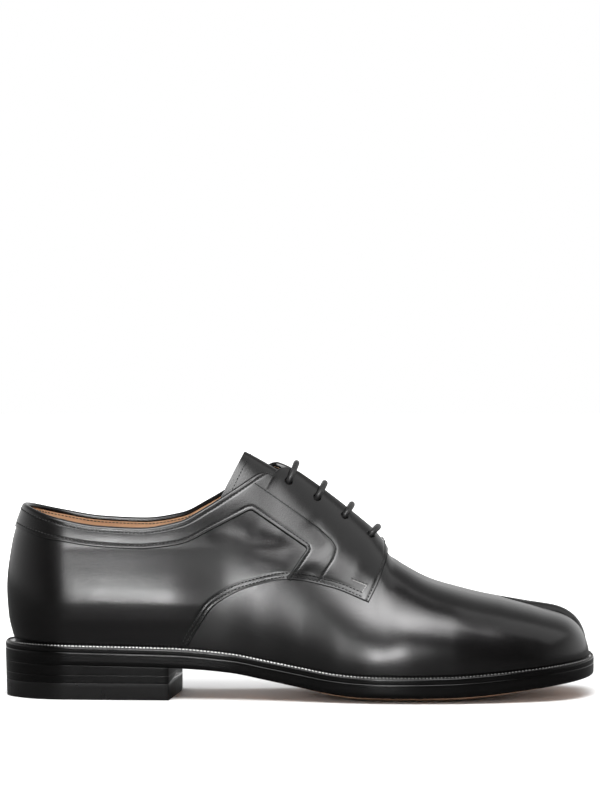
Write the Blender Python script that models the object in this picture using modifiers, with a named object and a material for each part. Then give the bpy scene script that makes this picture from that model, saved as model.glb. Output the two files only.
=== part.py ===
"""A split toe derby shoe for the right foot, standing empty on its sole.

Metres. +X runs to the toe, -Y is the outer (lateral) side and +Z is up. Every piece is worked out in the
last's own coordinates, which start at the back of the sole, and hangs on one empty that brings the origin
under the middle of the shoe.
"""

import bmesh
import bpy
import numpy as np
from mathutils import Matrix, Vector

# Driving sizes
LATERAL, MEDIAL = -1, 1
SIDE_NAMES = {LATERAL: "lateral", MEDIAL: "medial"}
SOLE_LENGTH = 0.300
GAP = 0.0003
OUTSOLE_THICKNESS = 0.0062
WELT_THICKNESS = 0.0030
WELT_SOFTENED = 0.0007
UPPER_WALL = 0.0020
FEATHER_INSET = 0.0046
FEATHER_GAP = 0.0005
TOE_INSET_SHARE = 0.7
HEEL_ROUND = 0.033
HEEL_SHAPE = 2.1
TOE_ROUND = {LATERAL: 0.046, MEDIAL: 0.030}
TOE_SHAPE = 2.7
TOE_CROWDING = 1.4
TOE_RISE_LENGTH = 0.021

# The heel under the seat of the sole
TOP_PIECE_HEIGHT = 0.0083
HEEL_BREAST = {LATERAL: 0.0843, MEDIAL: 0.0892}
HEEL_TAPER = 0.035
HEEL_EDGE_CHAMFER = 0.0004

# Crown of the outsole across its breadth: inset from the edge, share of the drop from the rim to the middle
# that is reached there, and rise of the rounded edge, which is full in front of the heel
CROWN = ((0.0240, 1.0, 0.0), (0.0160, 0.86, 0.0), (0.0095, 0.58, 0.0), (0.0045, 0.30, 0.0),
         (0.0014, 0.10, 0.0004), (0.0, 0.0, 0.0014))
EDGE_ROUND_START, EDGE_ROUND_RUN = 0.092, 0.045

# The split in the toe, and the small notch that the sole has below it
SPLIT_START = 0.252
SPLIT_RUN = 0.032
SPLIT_DEPTH = 0.0150
SPLIT_LIP = 0.0075
SPLIT_LIP_MIDDLE = 0.45
SPLIT_LIP_DEPTH = 0.0060
SPLIT_SLIT = 0.0012
LATERAL_LOBE_DROP = 0.0030
NOTCH_START, NOTCH_HALF_BACK, NOTCH_HALF_MOUTH = 0.2905, 0.0002, 0.0036
INSOLE_SLOT_START, INSOLE_SLOT_HALF_BACK, INSOLE_SLOT_HALF_MOUTH = 0.2735, 0.0040, 0.0075

# The throat, the overlaid leathers and the lacing
THROAT_END = 0.190
THROAT_HALF_GAP = 0.0036
THROAT_STATIONS = (THROAT_END, 0.1936, 0.1972)
LIP_BELOW_EDGE = 0.88
PANEL_FRONT = 0.2010
QUARTER_GAP = 0.0004
QUARTER_THICKNESS = 0.0012
COLLAR_GAP = 0.0004
COLLAR_THICKNESS = 0.0010
QUARTER_LOWEST_SHARE = 0.014
COLLAR_LOWEST_SHARE = 0.16
TONGUE_GAP = 0.0020
TONGUE_THICKNESS = 0.0020
TONGUE_TOP, TONGUE_FRONT = 0.1246, 0.1985
TONGUE_TOP_SLANT = 0.0085
TONGUE_SPAN = 0.40
TONGUE_CROWDING = 0.8
EYELETS_ALONG = (0.1437, 0.1579, 0.1716, 0.1848)
EYELET_FROM_CREST = 0.0136
EYELET_RADIUS = 0.0021
PUNCH_LENGTH = 0.014
LACE_RADIUS = 0.0013
LACE_CLEAR = 0.0005
LACE_SUNK = 0.0006
LACE_RISING = 0.0012
INSOLE_INSET = 0.0092
INSOLE_PROUD = 0.0020


def table(columns, rows):
    """A table's columns by name, as arrays."""
    return dict(zip(columns.split(), np.array(rows).T))


# Breadth of the sole on each side of the long axis, before its ends are rounded
OUTLINE = table("along lateral medial", (
    (0.000, 0.0285, 0.0350),
    (0.033, 0.0308, 0.0345),
    (0.060, 0.0330, 0.0333),
    (0.085, 0.0348, 0.0315),
    (0.110, 0.0366, 0.0298),
    (0.130, 0.0400, 0.0300),
    (0.150, 0.0448, 0.0325),
    (0.170, 0.0502, 0.0375),
    (0.190, 0.0540, 0.0430),
    (0.207, 0.0552, 0.0470),
    (0.225, 0.0548, 0.0495),
    (0.245, 0.0522, 0.0503),
    (0.270, 0.0470, 0.0490),
    (0.300, 0.0385, 0.0440),
))

# Height of the outsole's underside along the middle of the tread, where it bears on the ground, and along
# its rim: the heel seat, the arch, the ball and the toe spring
UNDERSIDE = table("along middle rim", (
    (0.000, 0.0180, 0.0180),
    (0.045, 0.0171, 0.0171),
    (0.085, 0.0163, 0.0163),
    (0.115, 0.0136, 0.0138),
    (0.134, 0.0098, 0.0104),
    (0.150, 0.0060, 0.0075),
    (0.165, 0.0024, 0.0049),
    (0.178, 0.0004, 0.0037),
    (0.187, 0.0000, 0.0034),
    (0.205, 0.0000, 0.0033),
    (0.223, 0.0000, 0.0036),
    (0.240, 0.0012, 0.0045),
    (0.260, 0.0040, 0.0063),
    (0.280, 0.0074, 0.0083),
    (0.300, 0.0098, 0.0102),
))

# Sections of the last: its crest, then for each side how far the wall leans out over the feather edge,
# how high that lean sits, and how broad the shoulder is, as a share of the height or of the breadth
SECTIONS = table(
    "along crest_y crest_z"
    " lean_lateral lean_medial wall_lateral wall_medial shoulder_lateral shoulder_medial", (
        (0.000, 0.0025, 0.1348, 0.0080, 0.0080, 0.27, 0.27, 0.82, 0.86),
        (0.045, 0.0015, 0.1358, 0.0085, 0.0080, 0.27, 0.27, 0.76, 0.82),
        (0.085, -0.0015, 0.1348, 0.0060, 0.0100, 0.26, 0.26, 0.70, 0.80),
        (0.115, -0.0010, 0.1303, 0.0040, 0.0110, 0.25, 0.27, 0.65, 0.76),
        (0.139, 0.0005, 0.1188, 0.0033, 0.0095, 0.254, 0.29, 0.598, 0.70),
        (0.156, 0.0012, 0.1075, 0.0029, 0.0075, 0.252, 0.30, 0.563, 0.66),
        (0.180, 0.0022, 0.0886, 0.0031, 0.0050, 0.300, 0.33, 0.505, 0.60),
        (0.1885, 0.0025, 0.0811, 0.0028, 0.0042, 0.343, 0.35, 0.530, 0.59),
        (0.1925, 0.0027, 0.0770, 0.0027, 0.0040, 0.375, 0.36, 0.562, 0.58),
        (0.1965, 0.0029, 0.0698, 0.0020, 0.0036, 0.425, 0.37, 0.680, 0.58),
        (0.205, 0.0032, 0.0638, 0.0020, 0.0032, 0.485, 0.39, 0.770, 0.58),
        (0.217, 0.0038, 0.0578, 0.0020, 0.0030, 0.550, 0.42, 0.845, 0.60),
        (0.230, 0.0046, 0.0539, 0.0016, 0.0030, 0.585, 0.45, 0.865, 0.62),
        (0.243, 0.0055, 0.0506, 0.0016, 0.0030, 0.575, 0.48, 0.865, 0.64),
        (0.266, 0.0075, 0.0464, 0.0014, 0.0025, 0.530, 0.52, 0.810, 0.68),
        (0.300, 0.0110, 0.0413, 0.0015, 0.0020, 0.500, 0.55, 0.720, 0.70),
    ))

# Profile of the back of the upper, from the feather edge to the collar
HEEL_BACK = table("height along", (
    (0.0273, 0.0060),
    (0.0408, 0.0028),
    (0.0548, 0.0019),
    (0.0768, 0.0045),
    (0.0988, 0.0112),
    (0.1328, 0.0230),
))
HEEL_BACK_REACH = 0.060

# Height of the collar's edge on each side, from the back to the top of the throat
TOPLINE = table("along lateral medial", (
    (0.0046, 0.0973, 0.0973),
    (0.025, 0.0913, 0.0924),
    (0.048, 0.0872, 0.0886),
    (0.070, 0.0862, 0.0876),
    (0.089, 0.0893, 0.0905),
    (0.103, 0.0966, 0.0976),
    (0.116, 0.1048, 0.1056),
    (0.128, 0.1126, 0.1134),
    (0.141, 0.1194, 0.1201),
))

# Lower edge of the quarter, from the sole's waist to the lower corner of its front
QUARTER_EDGE = table("along height", (
    (0.0940, 0.0273),
    (0.0985, 0.0353),
    (0.1070, 0.0474),
    (0.1250, 0.0566),
    (0.1444, 0.0604),
    (0.1650, 0.0566),
    (0.1842, 0.0491),
))

# Lower edge of the collar band, from the back to its peak, and then of the facing down to its foot
COLLAR_EDGE = table("along height", (
    (0.0046, 0.0853),
    (0.0280, 0.0794),
    (0.0480, 0.0764),
    (0.0690, 0.0754),
    (0.0890, 0.0775),
    (0.1070, 0.0856),
    (0.1250, 0.0951),
))
FACING_CORNER = (0.1520, 0.0738)
FACING_FOOT = (0.1450, 0.0618)

# Front edge of the quarter, up from its lower corner to the throat
QUARTER_FRONT_EDGE = (
    (0.1888, 0.0578),
    (0.1928, 0.0683),
    (0.1938, 0.0733),
    (0.1938, 0.0778),
    (0.1926, 0.0813),
    (0.1900, 0.0846),
)


def smooth(at, knots, values):
    """Monotone cubic through the knots: a slope is the harmonic mean of its neighbours, level at a turn."""
    at = np.clip(at, knots[0], knots[-1])
    steps = np.diff(values) / np.diff(knots)
    same_way = steps[1:] * steps[:-1] > 0
    both = np.where(same_way, steps[1:] + steps[:-1], 1.0)
    inner = np.where(same_way, 2 * steps[1:] * steps[:-1] / both, 0.0)
    slopes = np.concatenate([steps[:1], inner, steps[-1:]])
    i = np.clip(np.searchsorted(knots, at, side="right") - 1, 0, len(knots) - 2)
    width = knots[i + 1] - knots[i]
    u = (at - knots[i]) / width
    return (
        values[i] * (1 + 2 * u) * (1 - u) ** 2
        + values[i + 1] * (3 - 2 * u) * u**2
        + width * (slopes[i] * u * (1 - u) ** 2 - slopes[i + 1] * (1 - u) * u**2)
    )


def rounding(u, power):
    """Superellipse quarter: 1 at u = 0, falling to 0 at u = 1."""
    return (1 - np.clip(u, 0, 1) ** power) ** (1 / power)


def middle(x):
    """y of the line that the outline closes on at both ends, and that the crest and the split follow."""
    return smooth(x, SECTIONS["along"], SECTIONS["crest_y"])


def breadth(x, side, inset):
    """y of the plan outline at x, this far inside the sole's edge, closed by superellipses at both ends."""
    line = side * (smooth(x, OUTLINE["along"], OUTLINE[SIDE_NAMES[side]]) - inset)
    heel = rounding((HEEL_ROUND - x) / (HEEL_ROUND - inset), HEEL_SHAPE)
    reach = TOE_ROUND[side]
    toe = rounding((x - SOLE_LENGTH + reach) / (reach - TOE_INSET_SHARE * inset), TOE_SHAPE)
    return middle(x) + (line - middle(x)) * heel * toe


def along(share, inset):
    """x at this share of the length of an outline that lies this far inside the sole's edge."""
    return inset + share * (SOLE_LENGTH - (1 + TOE_INSET_SHARE) * inset)


def underside(x):
    """Height of the outsole's underside at its rim."""
    return smooth(x, UNDERSIDE["along"], UNDERSIDE["rim"])


def welt_base(x):
    return underside(x) + OUTSOLE_THICKNESS + GAP


def feather(x):
    """Height of the upper's lower edge, just clear of the welt."""
    return welt_base(x) + WELT_THICKNESS + FEATHER_GAP


def column(x, name):
    return smooth(x, SECTIONS["along"], SECTIONS[name])


def nose(x):
    """Share of its height that the toe keeps as it rounds down to its tip."""
    tip = SOLE_LENGTH - TOE_INSET_SHARE * FEATHER_INSET
    return rounding((x - tip + TOE_RISE_LENGTH) / TOE_RISE_LENGTH, TOE_SHAPE)


def crest(x):
    """(y, z) of the last's top line, which rounds down to the feather edge at the toe."""
    low = feather(x)
    return middle(x), low + (column(x, "crest_z") - low) * nose(x)


def section(x, side, share):
    """(y, z) on one wall of the last: a cubic arch from the feather edge, share 0, to the crest, share 1."""
    foot_y, foot_z = breadth(x, side, FEATHER_INSET), feather(x)
    crest_y, crest_z = crest(x)
    name = SIDE_NAMES[side]
    spread = np.abs(foot_y - crest_y) / (np.abs(foot_y - crest_y) + column(x, "lean_" + name))
    lean_y = foot_y + side * column(x, "lean_" + name) * spread
    lean_z = foot_z + column(x, "wall_" + name) * (crest_z - foot_z)
    shoulder_y = crest_y + column(x, "shoulder_" + name) * (foot_y - crest_y)
    b0, b1 = (1 - share) ** 3, 3 * share * (1 - share) ** 2
    b2, b3 = 3 * share**2 * (1 - share), share**3
    y = b0 * foot_y + b1 * lean_y + b2 * shoulder_y + b3 * crest_y
    return y, b0 * foot_z + b1 * lean_z + (b2 + b3) * crest_z


def eased(u):
    """Smooth step from 0 to 1."""
    u = np.clip(u, 0, 1)
    return u * u * (3 - 2 * u)


def split(x, y, side, share):
    """Depth of the toe's split: round lips, and between them a narrow slit where it is deeper than the lips.
    On the outer side the whole lobe first drops a little, and the split takes up the rest."""
    grown = eased((x - SPLIT_START) / SPLIT_RUN)
    drop = LATERAL_LOBE_DROP * grown * nose(x) * (side == LATERAL)
    depth = SPLIT_DEPTH * grown - drop
    off = np.abs(y - middle(x))
    lip = 1 - np.sqrt(1 - np.clip(1 - off / SPLIT_LIP, 0, 1) ** 2)
    slit = np.clip(1 - off / SPLIT_SLIT, 0, 1)
    cut_in = np.minimum(depth, SPLIT_LIP_DEPTH) * lip + np.maximum(depth - SPLIT_LIP_DEPTH, 0) * slit
    return drop * eased(share) + cut_in


def last(x, side, share):
    """Points of the upper's outer face: the section, leant to the heel's back profile and pushed in at the
    split, where the outer lobe also sits a little lower than the big toe's."""
    x, share = np.broadcast_arrays(np.asarray(x, float), np.asarray(share, float))
    y, z = section(x, side, share)
    reach = np.clip(1 - (x - FEATHER_INSET) / HEEL_BACK_REACH, 0, 1) ** 2
    back = smooth(z, HEEL_BACK["height"], HEEL_BACK["along"]) - FEATHER_INSET
    step = 1e-5
    slope = (crest(x)[1] - crest(x - step)[1]) / step
    inward = split(x, y, side, share) / np.hypot(1, slope)
    return np.stack([x + back * reach + inward * slope, y, z - inward], axis=-1)


def outward(x, side, share):
    """Unit normals of the last's face, from steps along the shoe and up the wall."""
    step_x, step_share = 2e-4, 1e-3
    first, final = np.maximum(x - step_x, FEATHER_INSET), x + step_x
    lower, upper = np.maximum(share - step_share, 0), np.minimum(share + step_share, 1)
    run = last(final, side, share) - last(first, side, share)
    rise = last(x, side, upper) - last(x, side, lower)
    normal = -side * np.cross(run, rise)
    return normal / np.linalg.norm(normal, axis=-1, keepdims=True)


def share_at_height(x, side, height):
    """Share up the wall where each section reaches a height."""
    shares = np.linspace(0, 1, 401)
    pairs = zip(np.atleast_1d(x), np.broadcast_to(height, np.shape(np.atleast_1d(x))))
    return np.array([np.interp(z, section(np.full(401, a), side, shares)[1], shares) for a, z in pairs])


def share_off_crest(x, side, distance):
    """Share up the wall that lies this far to the side of the crest."""
    shares = np.linspace(0.5, 1, 401)
    found = []
    for a in np.atleast_1d(x):
        off = np.abs(section(np.full(401, a), side, shares)[0] - crest(a)[0])
        found.append(np.interp(-distance, -off, shares))
    return np.array(found)


def top_share(x, side):
    """Share up the wall of the upper's open edge: the collar's edge, or the throat where that comes first."""
    height = smooth(x, TOPLINE["along"], TOPLINE[SIDE_NAMES[side]])
    return np.minimum(share_at_height(x, side, height), share_off_crest(x, side, THROAT_HALF_GAP))


SHOE = bpy.data.collections.new("split_toe_shoe")
CUTTERS = bpy.data.collections.new("cutters")


def clear_scene():
    for old in list(bpy.data.objects):
        bpy.data.objects.remove(old)
    bpy.context.scene.collection.children.link(SHOE)
    bpy.context.scene.collection.children.link(CUTTERS)


def shoe_origin():
    """The empty that carries every piece: it puts the origin under the middle of the sole's outline."""
    x = along(np.linspace(0, 1, 2001), 0)
    centre = (breadth(x, LATERAL, 0).min() + breadth(x, MEDIAL, 0).max()) / 2
    empty = bpy.data.objects.new("shoe_origin", None)
    empty.location = (-SOLE_LENGTH / 2, -centre, 0)
    SHOE.objects.link(empty)
    return empty


def finish(name, colour, roughness):
    """A material of the piece's own: a Principled BSDF with its colour and roughness, not metallic."""
    material = bpy.data.materials.new(name + "_finish")
    material.use_nodes = True
    shader = material.node_tree.nodes["Principled BSDF"]
    shader.inputs["Base Color"].default_value = (*colour, 1)
    shader.inputs["Roughness"].default_value = roughness
    shader.inputs["Metallic"].default_value = 0
    return material


BLACK_LEATHER = ((0.012, 0.011, 0.011), 0.38)
EDGE_LEATHER = ((0.010, 0.009, 0.009), 0.45)
SOLE_LEATHER = ((0.35, 0.22, 0.15), 0.55)
TAN_LEATHER = ((0.42, 0.24, 0.12), 0.60)
HEEL_RUBBER = ((0.012, 0.012, 0.012), 0.60)
WAXED_CORD = ((0.020, 0.019, 0.020), 0.50)


def add_mesh(name, points, faces, look=None):
    """A piece from points and faces, with coinciding points made one and its faces turned the same way."""
    mesh = bpy.data.meshes.new(name)
    mesh.from_pydata([tuple(point) for point in points], [], faces)
    form = bmesh.new()
    form.from_mesh(mesh)
    bmesh.ops.remove_doubles(form, verts=form.verts, dist=1e-5)
    bmesh.ops.dissolve_degenerate(form, edges=form.edges, dist=1e-6)
    bmesh.ops.recalc_face_normals(form, faces=form.faces)
    form.to_mesh(mesh)
    form.free()
    mesh.shade_smooth()
    piece = bpy.data.objects.new(name, mesh)
    piece.parent = ORIGIN
    if look:
        SHOE.objects.link(piece)
        mesh.materials.append(finish(name, *look))
    else:
        CUTTERS.objects.link(piece)
        piece.hide_render = True
        piece.display_type = "WIRE"
    return piece


def grid_faces(rows, columns, start=0, wrap=False):
    """Triangles of a grid of points, row after row, closed across where wrap is set. Every cell is parted
    along the same diagonal, so that leathers laid over each other have parallel facets."""
    faces = []
    for i in range(rows - 1):
        for j in range(columns if wrap else columns - 1):
            k = (j + 1) % columns
            a, b = start + i * columns, start + (i + 1) * columns
            faces += [(a + j, a + k, b + k), (a + j, b + k, b + j)]
    return faces


def thicken(piece, thickness, offset):
    """Solidify: offset -1 builds the wall inwards from the face, 1 builds it outwards."""
    wall = piece.modifiers.new("wall", "SOLIDIFY")
    wall.thickness = thickness
    wall.offset = offset


def cut(piece, cutter):
    boolean = piece.modifiers.new("cut_" + cutter.name, "BOOLEAN")
    boolean.operation = "DIFFERENCE"
    boolean.object = cutter


def end_shares(heel_steps, middle_steps, toe_steps):
    """Stations along the length as shares: close together round the heel and the toe, even between them."""
    heel = HEEL_ROUND * (1 - np.cos(np.linspace(0, np.pi / 2, heel_steps + 1)))
    toe_start = SOLE_LENGTH - TOE_ROUND[LATERAL]
    waist = np.linspace(HEEL_ROUND, toe_start, middle_steps + 1)[1:-1]
    width = np.linspace(1, 0, toe_steps + 1) ** TOE_CROWDING
    toe = toe_start + TOE_ROUND[LATERAL] * (1 - width**TOE_SHAPE) ** (1 / TOE_SHAPE)
    return np.concatenate([heel, waist, toe]) / SOLE_LENGTH


def plate(name, look, shares, rim, ends=None):
    """A solid with the sole's outline. rim gives, from its lower edge to its upper one, an inset and a height
    as a function of x. ends gives the x where each side stops, for a piece that is shorter than the sole."""
    loops = []
    for side, rows in ((LATERAL, rim), (MEDIAL, rim[::-1])):
        for inset, height in rows:
            x = along(shares, inset) if ends is None else inset + shares * (ends[side] - inset)
            loops.append(np.stack([x, breadth(x, side, inset), height(x)], axis=-1))
    points = np.stack(loops, axis=1)
    count, around = points.shape[:2]
    faces = grid_faces(count, around, wrap=True)
    faces += [tuple(range(around)), tuple(range((count - 1) * around, count * around))]
    return add_mesh(name, points.reshape(-1, 3), faces, look)


def raised(height, rise):
    return lambda x: height(x) + rise


def make_outsole():
    """Leather outsole: one plate from heel to toe, crowned a little below, with its edge rounded off in front
    of the heel."""
    def crowned(share, rise):
        def height(x):
            drop = underside(x) - smooth(x, UNDERSIDE["along"], UNDERSIDE["middle"])
            return underside(x) - share * drop + rise * eased((x - EDGE_ROUND_START) / EDGE_ROUND_RUN)

        return height

    rim = [(inset, crowned(share, rise)) for inset, share, rise in CROWN]
    rim.append((0, raised(underside, OUTSOLE_THICKNESS)))
    return plate("outsole", SOLE_LEATHER, end_shares(7, 15, 9), rim)


def make_welt():
    """Leather strip round the foot: one profile carried round the outline, from heel to toe and back."""
    profile = [
        (0, welt_base),
        (0, raised(welt_base, WELT_THICKNESS - WELT_SOFTENED)),
        (WELT_SOFTENED, raised(welt_base, WELT_THICKNESS)),
        (FEATHER_INSET + UPPER_WALL, raised(welt_base, WELT_THICKNESS)),
        (FEATHER_INSET + UPPER_WALL, welt_base),
    ]
    shares = end_shares(7, 15, 9)
    loops = []
    for side, stations in ((LATERAL, shares), (MEDIAL, shares[-2:0:-1])):
        rows = []
        for inset, height in profile:
            x = along(stations, inset)
            rows.append(np.stack([x, breadth(x, side, inset), height(x)], axis=-1))
        loops.append(np.stack(rows, axis=1))
    points = np.concatenate(loops)
    points = np.concatenate([points, points[:1]])
    faces = grid_faces(len(points), len(profile), wrap=True)
    return add_mesh("welt", points.reshape(-1, 3), faces, EDGE_LEATHER)


def make_heel():
    """Two leather lifts, the upper one a wedge under the heel seat, and the rubber top piece below them."""
    seat = raised(underside, -GAP)
    breast_seat = float(underside(HEEL_BREAST[LATERAL]))
    lift_joint = (TOP_PIECE_HEIGHT + breast_seat) / 2

    def level(height):
        return lambda x: np.full_like(x, height)

    layers = (
        ("heel_top_piece", HEEL_RUBBER, level(0.0), level(TOP_PIECE_HEIGHT)),
        ("heel_lift_lower", EDGE_LEATHER, level(TOP_PIECE_HEIGHT + GAP), level(lift_joint)),
        ("heel_lift_upper", EDGE_LEATHER, level(lift_joint + GAP), seat),
    )
    angle = np.linspace(0, np.pi / 2, 9)
    heel_reach = HEEL_ROUND / HEEL_BREAST[LATERAL]
    shares = np.concatenate([heel_reach * (1 - np.cos(angle)), np.linspace(heel_reach, 1, 5)[1:]])
    for name, look, low, high in layers:
        bottom, top = low(np.zeros(1))[0], high(np.zeros(1))[0]
        taper_low = HEEL_TAPER * (breast_seat - bottom) + GAP
        taper_high = max(HEEL_TAPER * (breast_seat - top), 0) + GAP
        rim = [
            (taper_low + HEEL_EDGE_CHAMFER, low),
            (taper_low, raised(low, HEEL_EDGE_CHAMFER)),
            (taper_high, raised(high, -HEEL_EDGE_CHAMFER)),
            (taper_high + HEEL_EDGE_CHAMFER, high),
        ]
        plate(name, look, shares, rim, HEEL_BREAST)


def make_insole():
    """Leather insole inside the welt and the upper, slotted where the upper's split comes down."""
    rim = [
        (INSOLE_INSET, welt_base),
        (INSOLE_INSET, raised(welt_base, WELT_THICKNESS + INSOLE_PROUD)),
    ]
    return plate("insole", TAN_LEATHER, end_shares(6, 12, 8), rim)


def wedge(name, start, half_start, half_mouth):
    """An upright wedge at the toe's split, from start to beyond the toe, as a cutter."""
    beyond, top = SOLE_LENGTH + 0.004, 0.060
    back_y, front_y = middle(start), middle(SOLE_LENGTH)
    plan = (
        (start, back_y - half_start),
        (beyond, front_y - half_mouth),
        (beyond, front_y + half_mouth),
        (start, back_y + half_start),
    )
    points = [(x, y, z) for z in (-0.010, top) for x, y in plan]
    faces = [(3, 2, 1, 0), (4, 5, 6, 7)] + [(i, (i + 1) % 4, (i + 1) % 4 + 4, i + 4) for i in range(4)]
    return add_mesh(name, points, faces)


def upper_stations():
    """Stations of the upper, with a few more where the vamp steps down in front of the throat."""
    return np.union1d(along(end_shares(8, 20, 13), FEATHER_INSET), THROAT_STATIONS)


def side_shares(x, side):
    """Shares up one wall for a grid of the upper: eight lines up to the lip, which runs beside the throat and
    the split, and three more up to the open edge, or on to the split's slit and the crest."""
    edge = top_share(x, side)
    lip = np.minimum(share_off_crest(x, side, SPLIT_LIP), LIP_BELOW_EDGE * edge)
    to_lip = lip[:, None] * np.linspace(0, 1, 8)
    to_edge = lip[:, None] + (edge - lip)[:, None] * np.linspace(0, 1, 4)[1:]
    beyond = [share_off_crest(x, side, off) for off in (SPLIT_LIP_MIDDLE * SPLIT_LIP, SPLIT_SLIT, 0)]
    to_crest = np.column_stack(beyond)
    return np.hstack([to_lip, np.where(x[:, None] <= THROAT_END, to_edge, to_crest)])


def face_outwards(piece):
    """Turns an open wall's faces away from the middle of the shoe."""
    inside = Vector((SOLE_LENGTH / 2, 0, 0.04))
    sense = sum(face.area * face.normal.dot(face.center - inside) for face in piece.data.polygons)
    if sense < 0:
        piece.data.flip_normals()


def make_upper():
    """The lasted leather wall: both sides from the feather edge to the collar, the throat or the crest."""
    x = upper_stations()
    points, faces = [], []
    for side in (LATERAL, MEDIAL):
        share = side_shares(x, side)
        wall = last(x[:, None], side, share)
        faces += grid_faces(*share.shape, start=len(points))
        points += list(wall.reshape(-1, 3))
    upper = add_mesh("upper", points, faces, BLACK_LEATHER)
    face_outwards(upper)
    thicken(upper, UPPER_WALL, -1)
    return upper


def make_panel(name, side, lift, thickness, lowest):
    """A leather over one side of the upper: the upper's own face as far as the front of the throat, lifted
    clear of what is below it and thickened outwards. Its lower and front edges are cut afterwards."""
    x = upper_stations()
    x = np.append(x[x < PANEL_FRONT], PANEL_FRONT)
    share = np.clip(side_shares(x, side), lowest, top_share(x, side)[:, None])
    points = last(x[:, None], side, share) + lift * outward(x[:, None], side, share)
    points[0, :, 1] = middle(FEATHER_INSET) + side * GAP
    panel = add_mesh(name, points.reshape(-1, 3), grid_faces(*share.shape), BLACK_LEATHER)
    face_outwards(panel)
    thicken(panel, thickness, 1)
    return panel


def prism(name, outline):
    """A cutter that runs right across the shoe, from an outline of (x, height) points in the side view."""
    count, half = len(outline), 0.080
    points = [(x, y, z) for y in (-half, half) for x, z in outline]
    faces = [tuple(range(count)), tuple(range(count, 2 * count))[::-1]]
    faces += [(i, (i + 1) % count, (i + 1) % count + count, i + count) for i in range(count)]
    return add_mesh(name, points, faces)


def edge_points(edge, steps):
    x = np.linspace(edge["along"][0], edge["along"][-1], steps + 1)
    return list(zip(x, smooth(x, edge["along"], edge["height"])))


def vamp_side():
    """What lies in front of and below the quarter's curved seam and its front edge."""
    below, ahead, above = -0.010, 0.230, 0.110
    seam = edge_points(QUARTER_EDGE, 20)
    foot = [(QUARTER_EDGE["along"][0], below)]
    return foot + seam + list(QUARTER_FRONT_EDGE) + [(ahead, above), (ahead, below)]


def quarter_side():
    """What lies below the collar band and behind the facing."""
    below, behind = -0.010, -0.020
    band = edge_points(COLLAR_EDGE, 20)
    back = [(behind, below), (behind, COLLAR_EDGE["height"][0])]
    return back + band + [FACING_CORNER, FACING_FOOT, (FACING_FOOT[0], below)]


def make_tongue():
    """The tongue under the throat: an arch below the upper's wall, its top edge slanting at the sides."""
    across = np.linspace(-1, 1, 11)
    run = np.linspace(0, 1, 12)[:, None] ** TONGUE_CROWDING
    columns = []
    for offset in across:
        side = LATERAL if offset < 0 else MEDIAL
        top = TONGUE_TOP - TONGUE_TOP_SLANT * abs(offset)
        x = (top + run * (TONGUE_FRONT - top)).ravel()
        share = np.full_like(x, 1 - TONGUE_SPAN * abs(offset))
        inwards = UPPER_WALL + TONGUE_GAP
        columns.append(last(x, side, share) - inwards * outward(x, side, share))
    points = np.stack(columns, axis=1)
    tongue = add_mesh("tongue", points.reshape(-1, 3), grid_faces(*points.shape[:2]), BLACK_LEATHER)
    face_outwards(tongue)
    thicken(tongue, TONGUE_THICKNESS, -1)
    return tongue


def eyelet_places(side):
    """Points on the last at the four eyelets of one side, with the way out of the leather at each."""
    x = np.array(EYELETS_ALONG)
    share = share_off_crest(x, side, EYELET_FROM_CREST)
    return last(x, side, share), outward(x, side, share)


def make_eyelet_punch(side):
    """The four round punches of one side, as one cutter."""
    form = bmesh.new()
    for place, way in zip(*eyelet_places(side)):
        turn = Vector(way).to_track_quat("Z", "Y").to_matrix().to_4x4()
        bmesh.ops.create_cone(
            form,
            cap_ends=True,
            segments=8,
            radius1=EYELET_RADIUS,
            radius2=EYELET_RADIUS,
            depth=PUNCH_LENGTH,
            matrix=Matrix.Translation(Vector(place)) @ turn,
        )
    mesh = bpy.data.meshes.new("eyelet_punch_" + SIDE_NAMES[side])
    form.to_mesh(mesh)
    form.free()
    punch = bpy.data.objects.new(mesh.name, mesh)
    punch.parent = ORIGIN
    punch.hide_render = True
    punch.display_type = "WIRE"
    CUTTERS.objects.link(punch)
    return punch


def make_lace_bars():
    """Four straight bars of round cord: out of one eyelet, over both facings and into the eyelet opposite."""
    leather = QUARTER_GAP + QUARTER_THICKNESS + COLLAR_GAP + COLLAR_THICKNESS
    over = leather + LACE_RADIUS + LACE_CLEAR
    for number, x in enumerate(EYELETS_ALONG, start=1):
        route = []
        for side in (LATERAL, MEDIAL):
            reach = EYELET_FROM_CREST * np.array([1.0, 0.98, 0.80, 0.50, 0.2])
            lift = np.array([leather - LACE_SUNK, leather + LACE_RISING, over, over, over])
            stations = np.full(len(reach), x)
            share = np.array([share_off_crest(x, side, off)[0] for off in reach])
            half = last(stations, side, share) + lift[:, None] * outward(stations, side, share)
            route += list(half if side == LATERAL else half[::-1])
        curve = bpy.data.curves.new(f"lace_bar_{number}", "CURVE")
        curve.dimensions = "3D"
        curve.bevel_depth = LACE_RADIUS
        curve.bevel_resolution = 1
        curve.use_fill_caps = True
        spline = curve.splines.new("POLY")
        spline.points.add(len(route) - 1)
        for point, place in zip(spline.points, route):
            point.co = (*place, 1)
        bar = bpy.data.objects.new(curve.name, curve)
        bar.parent = ORIGIN
        SHOE.objects.link(bar)
        curve.materials.append(finish(curve.name, *WAXED_CORD))


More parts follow.
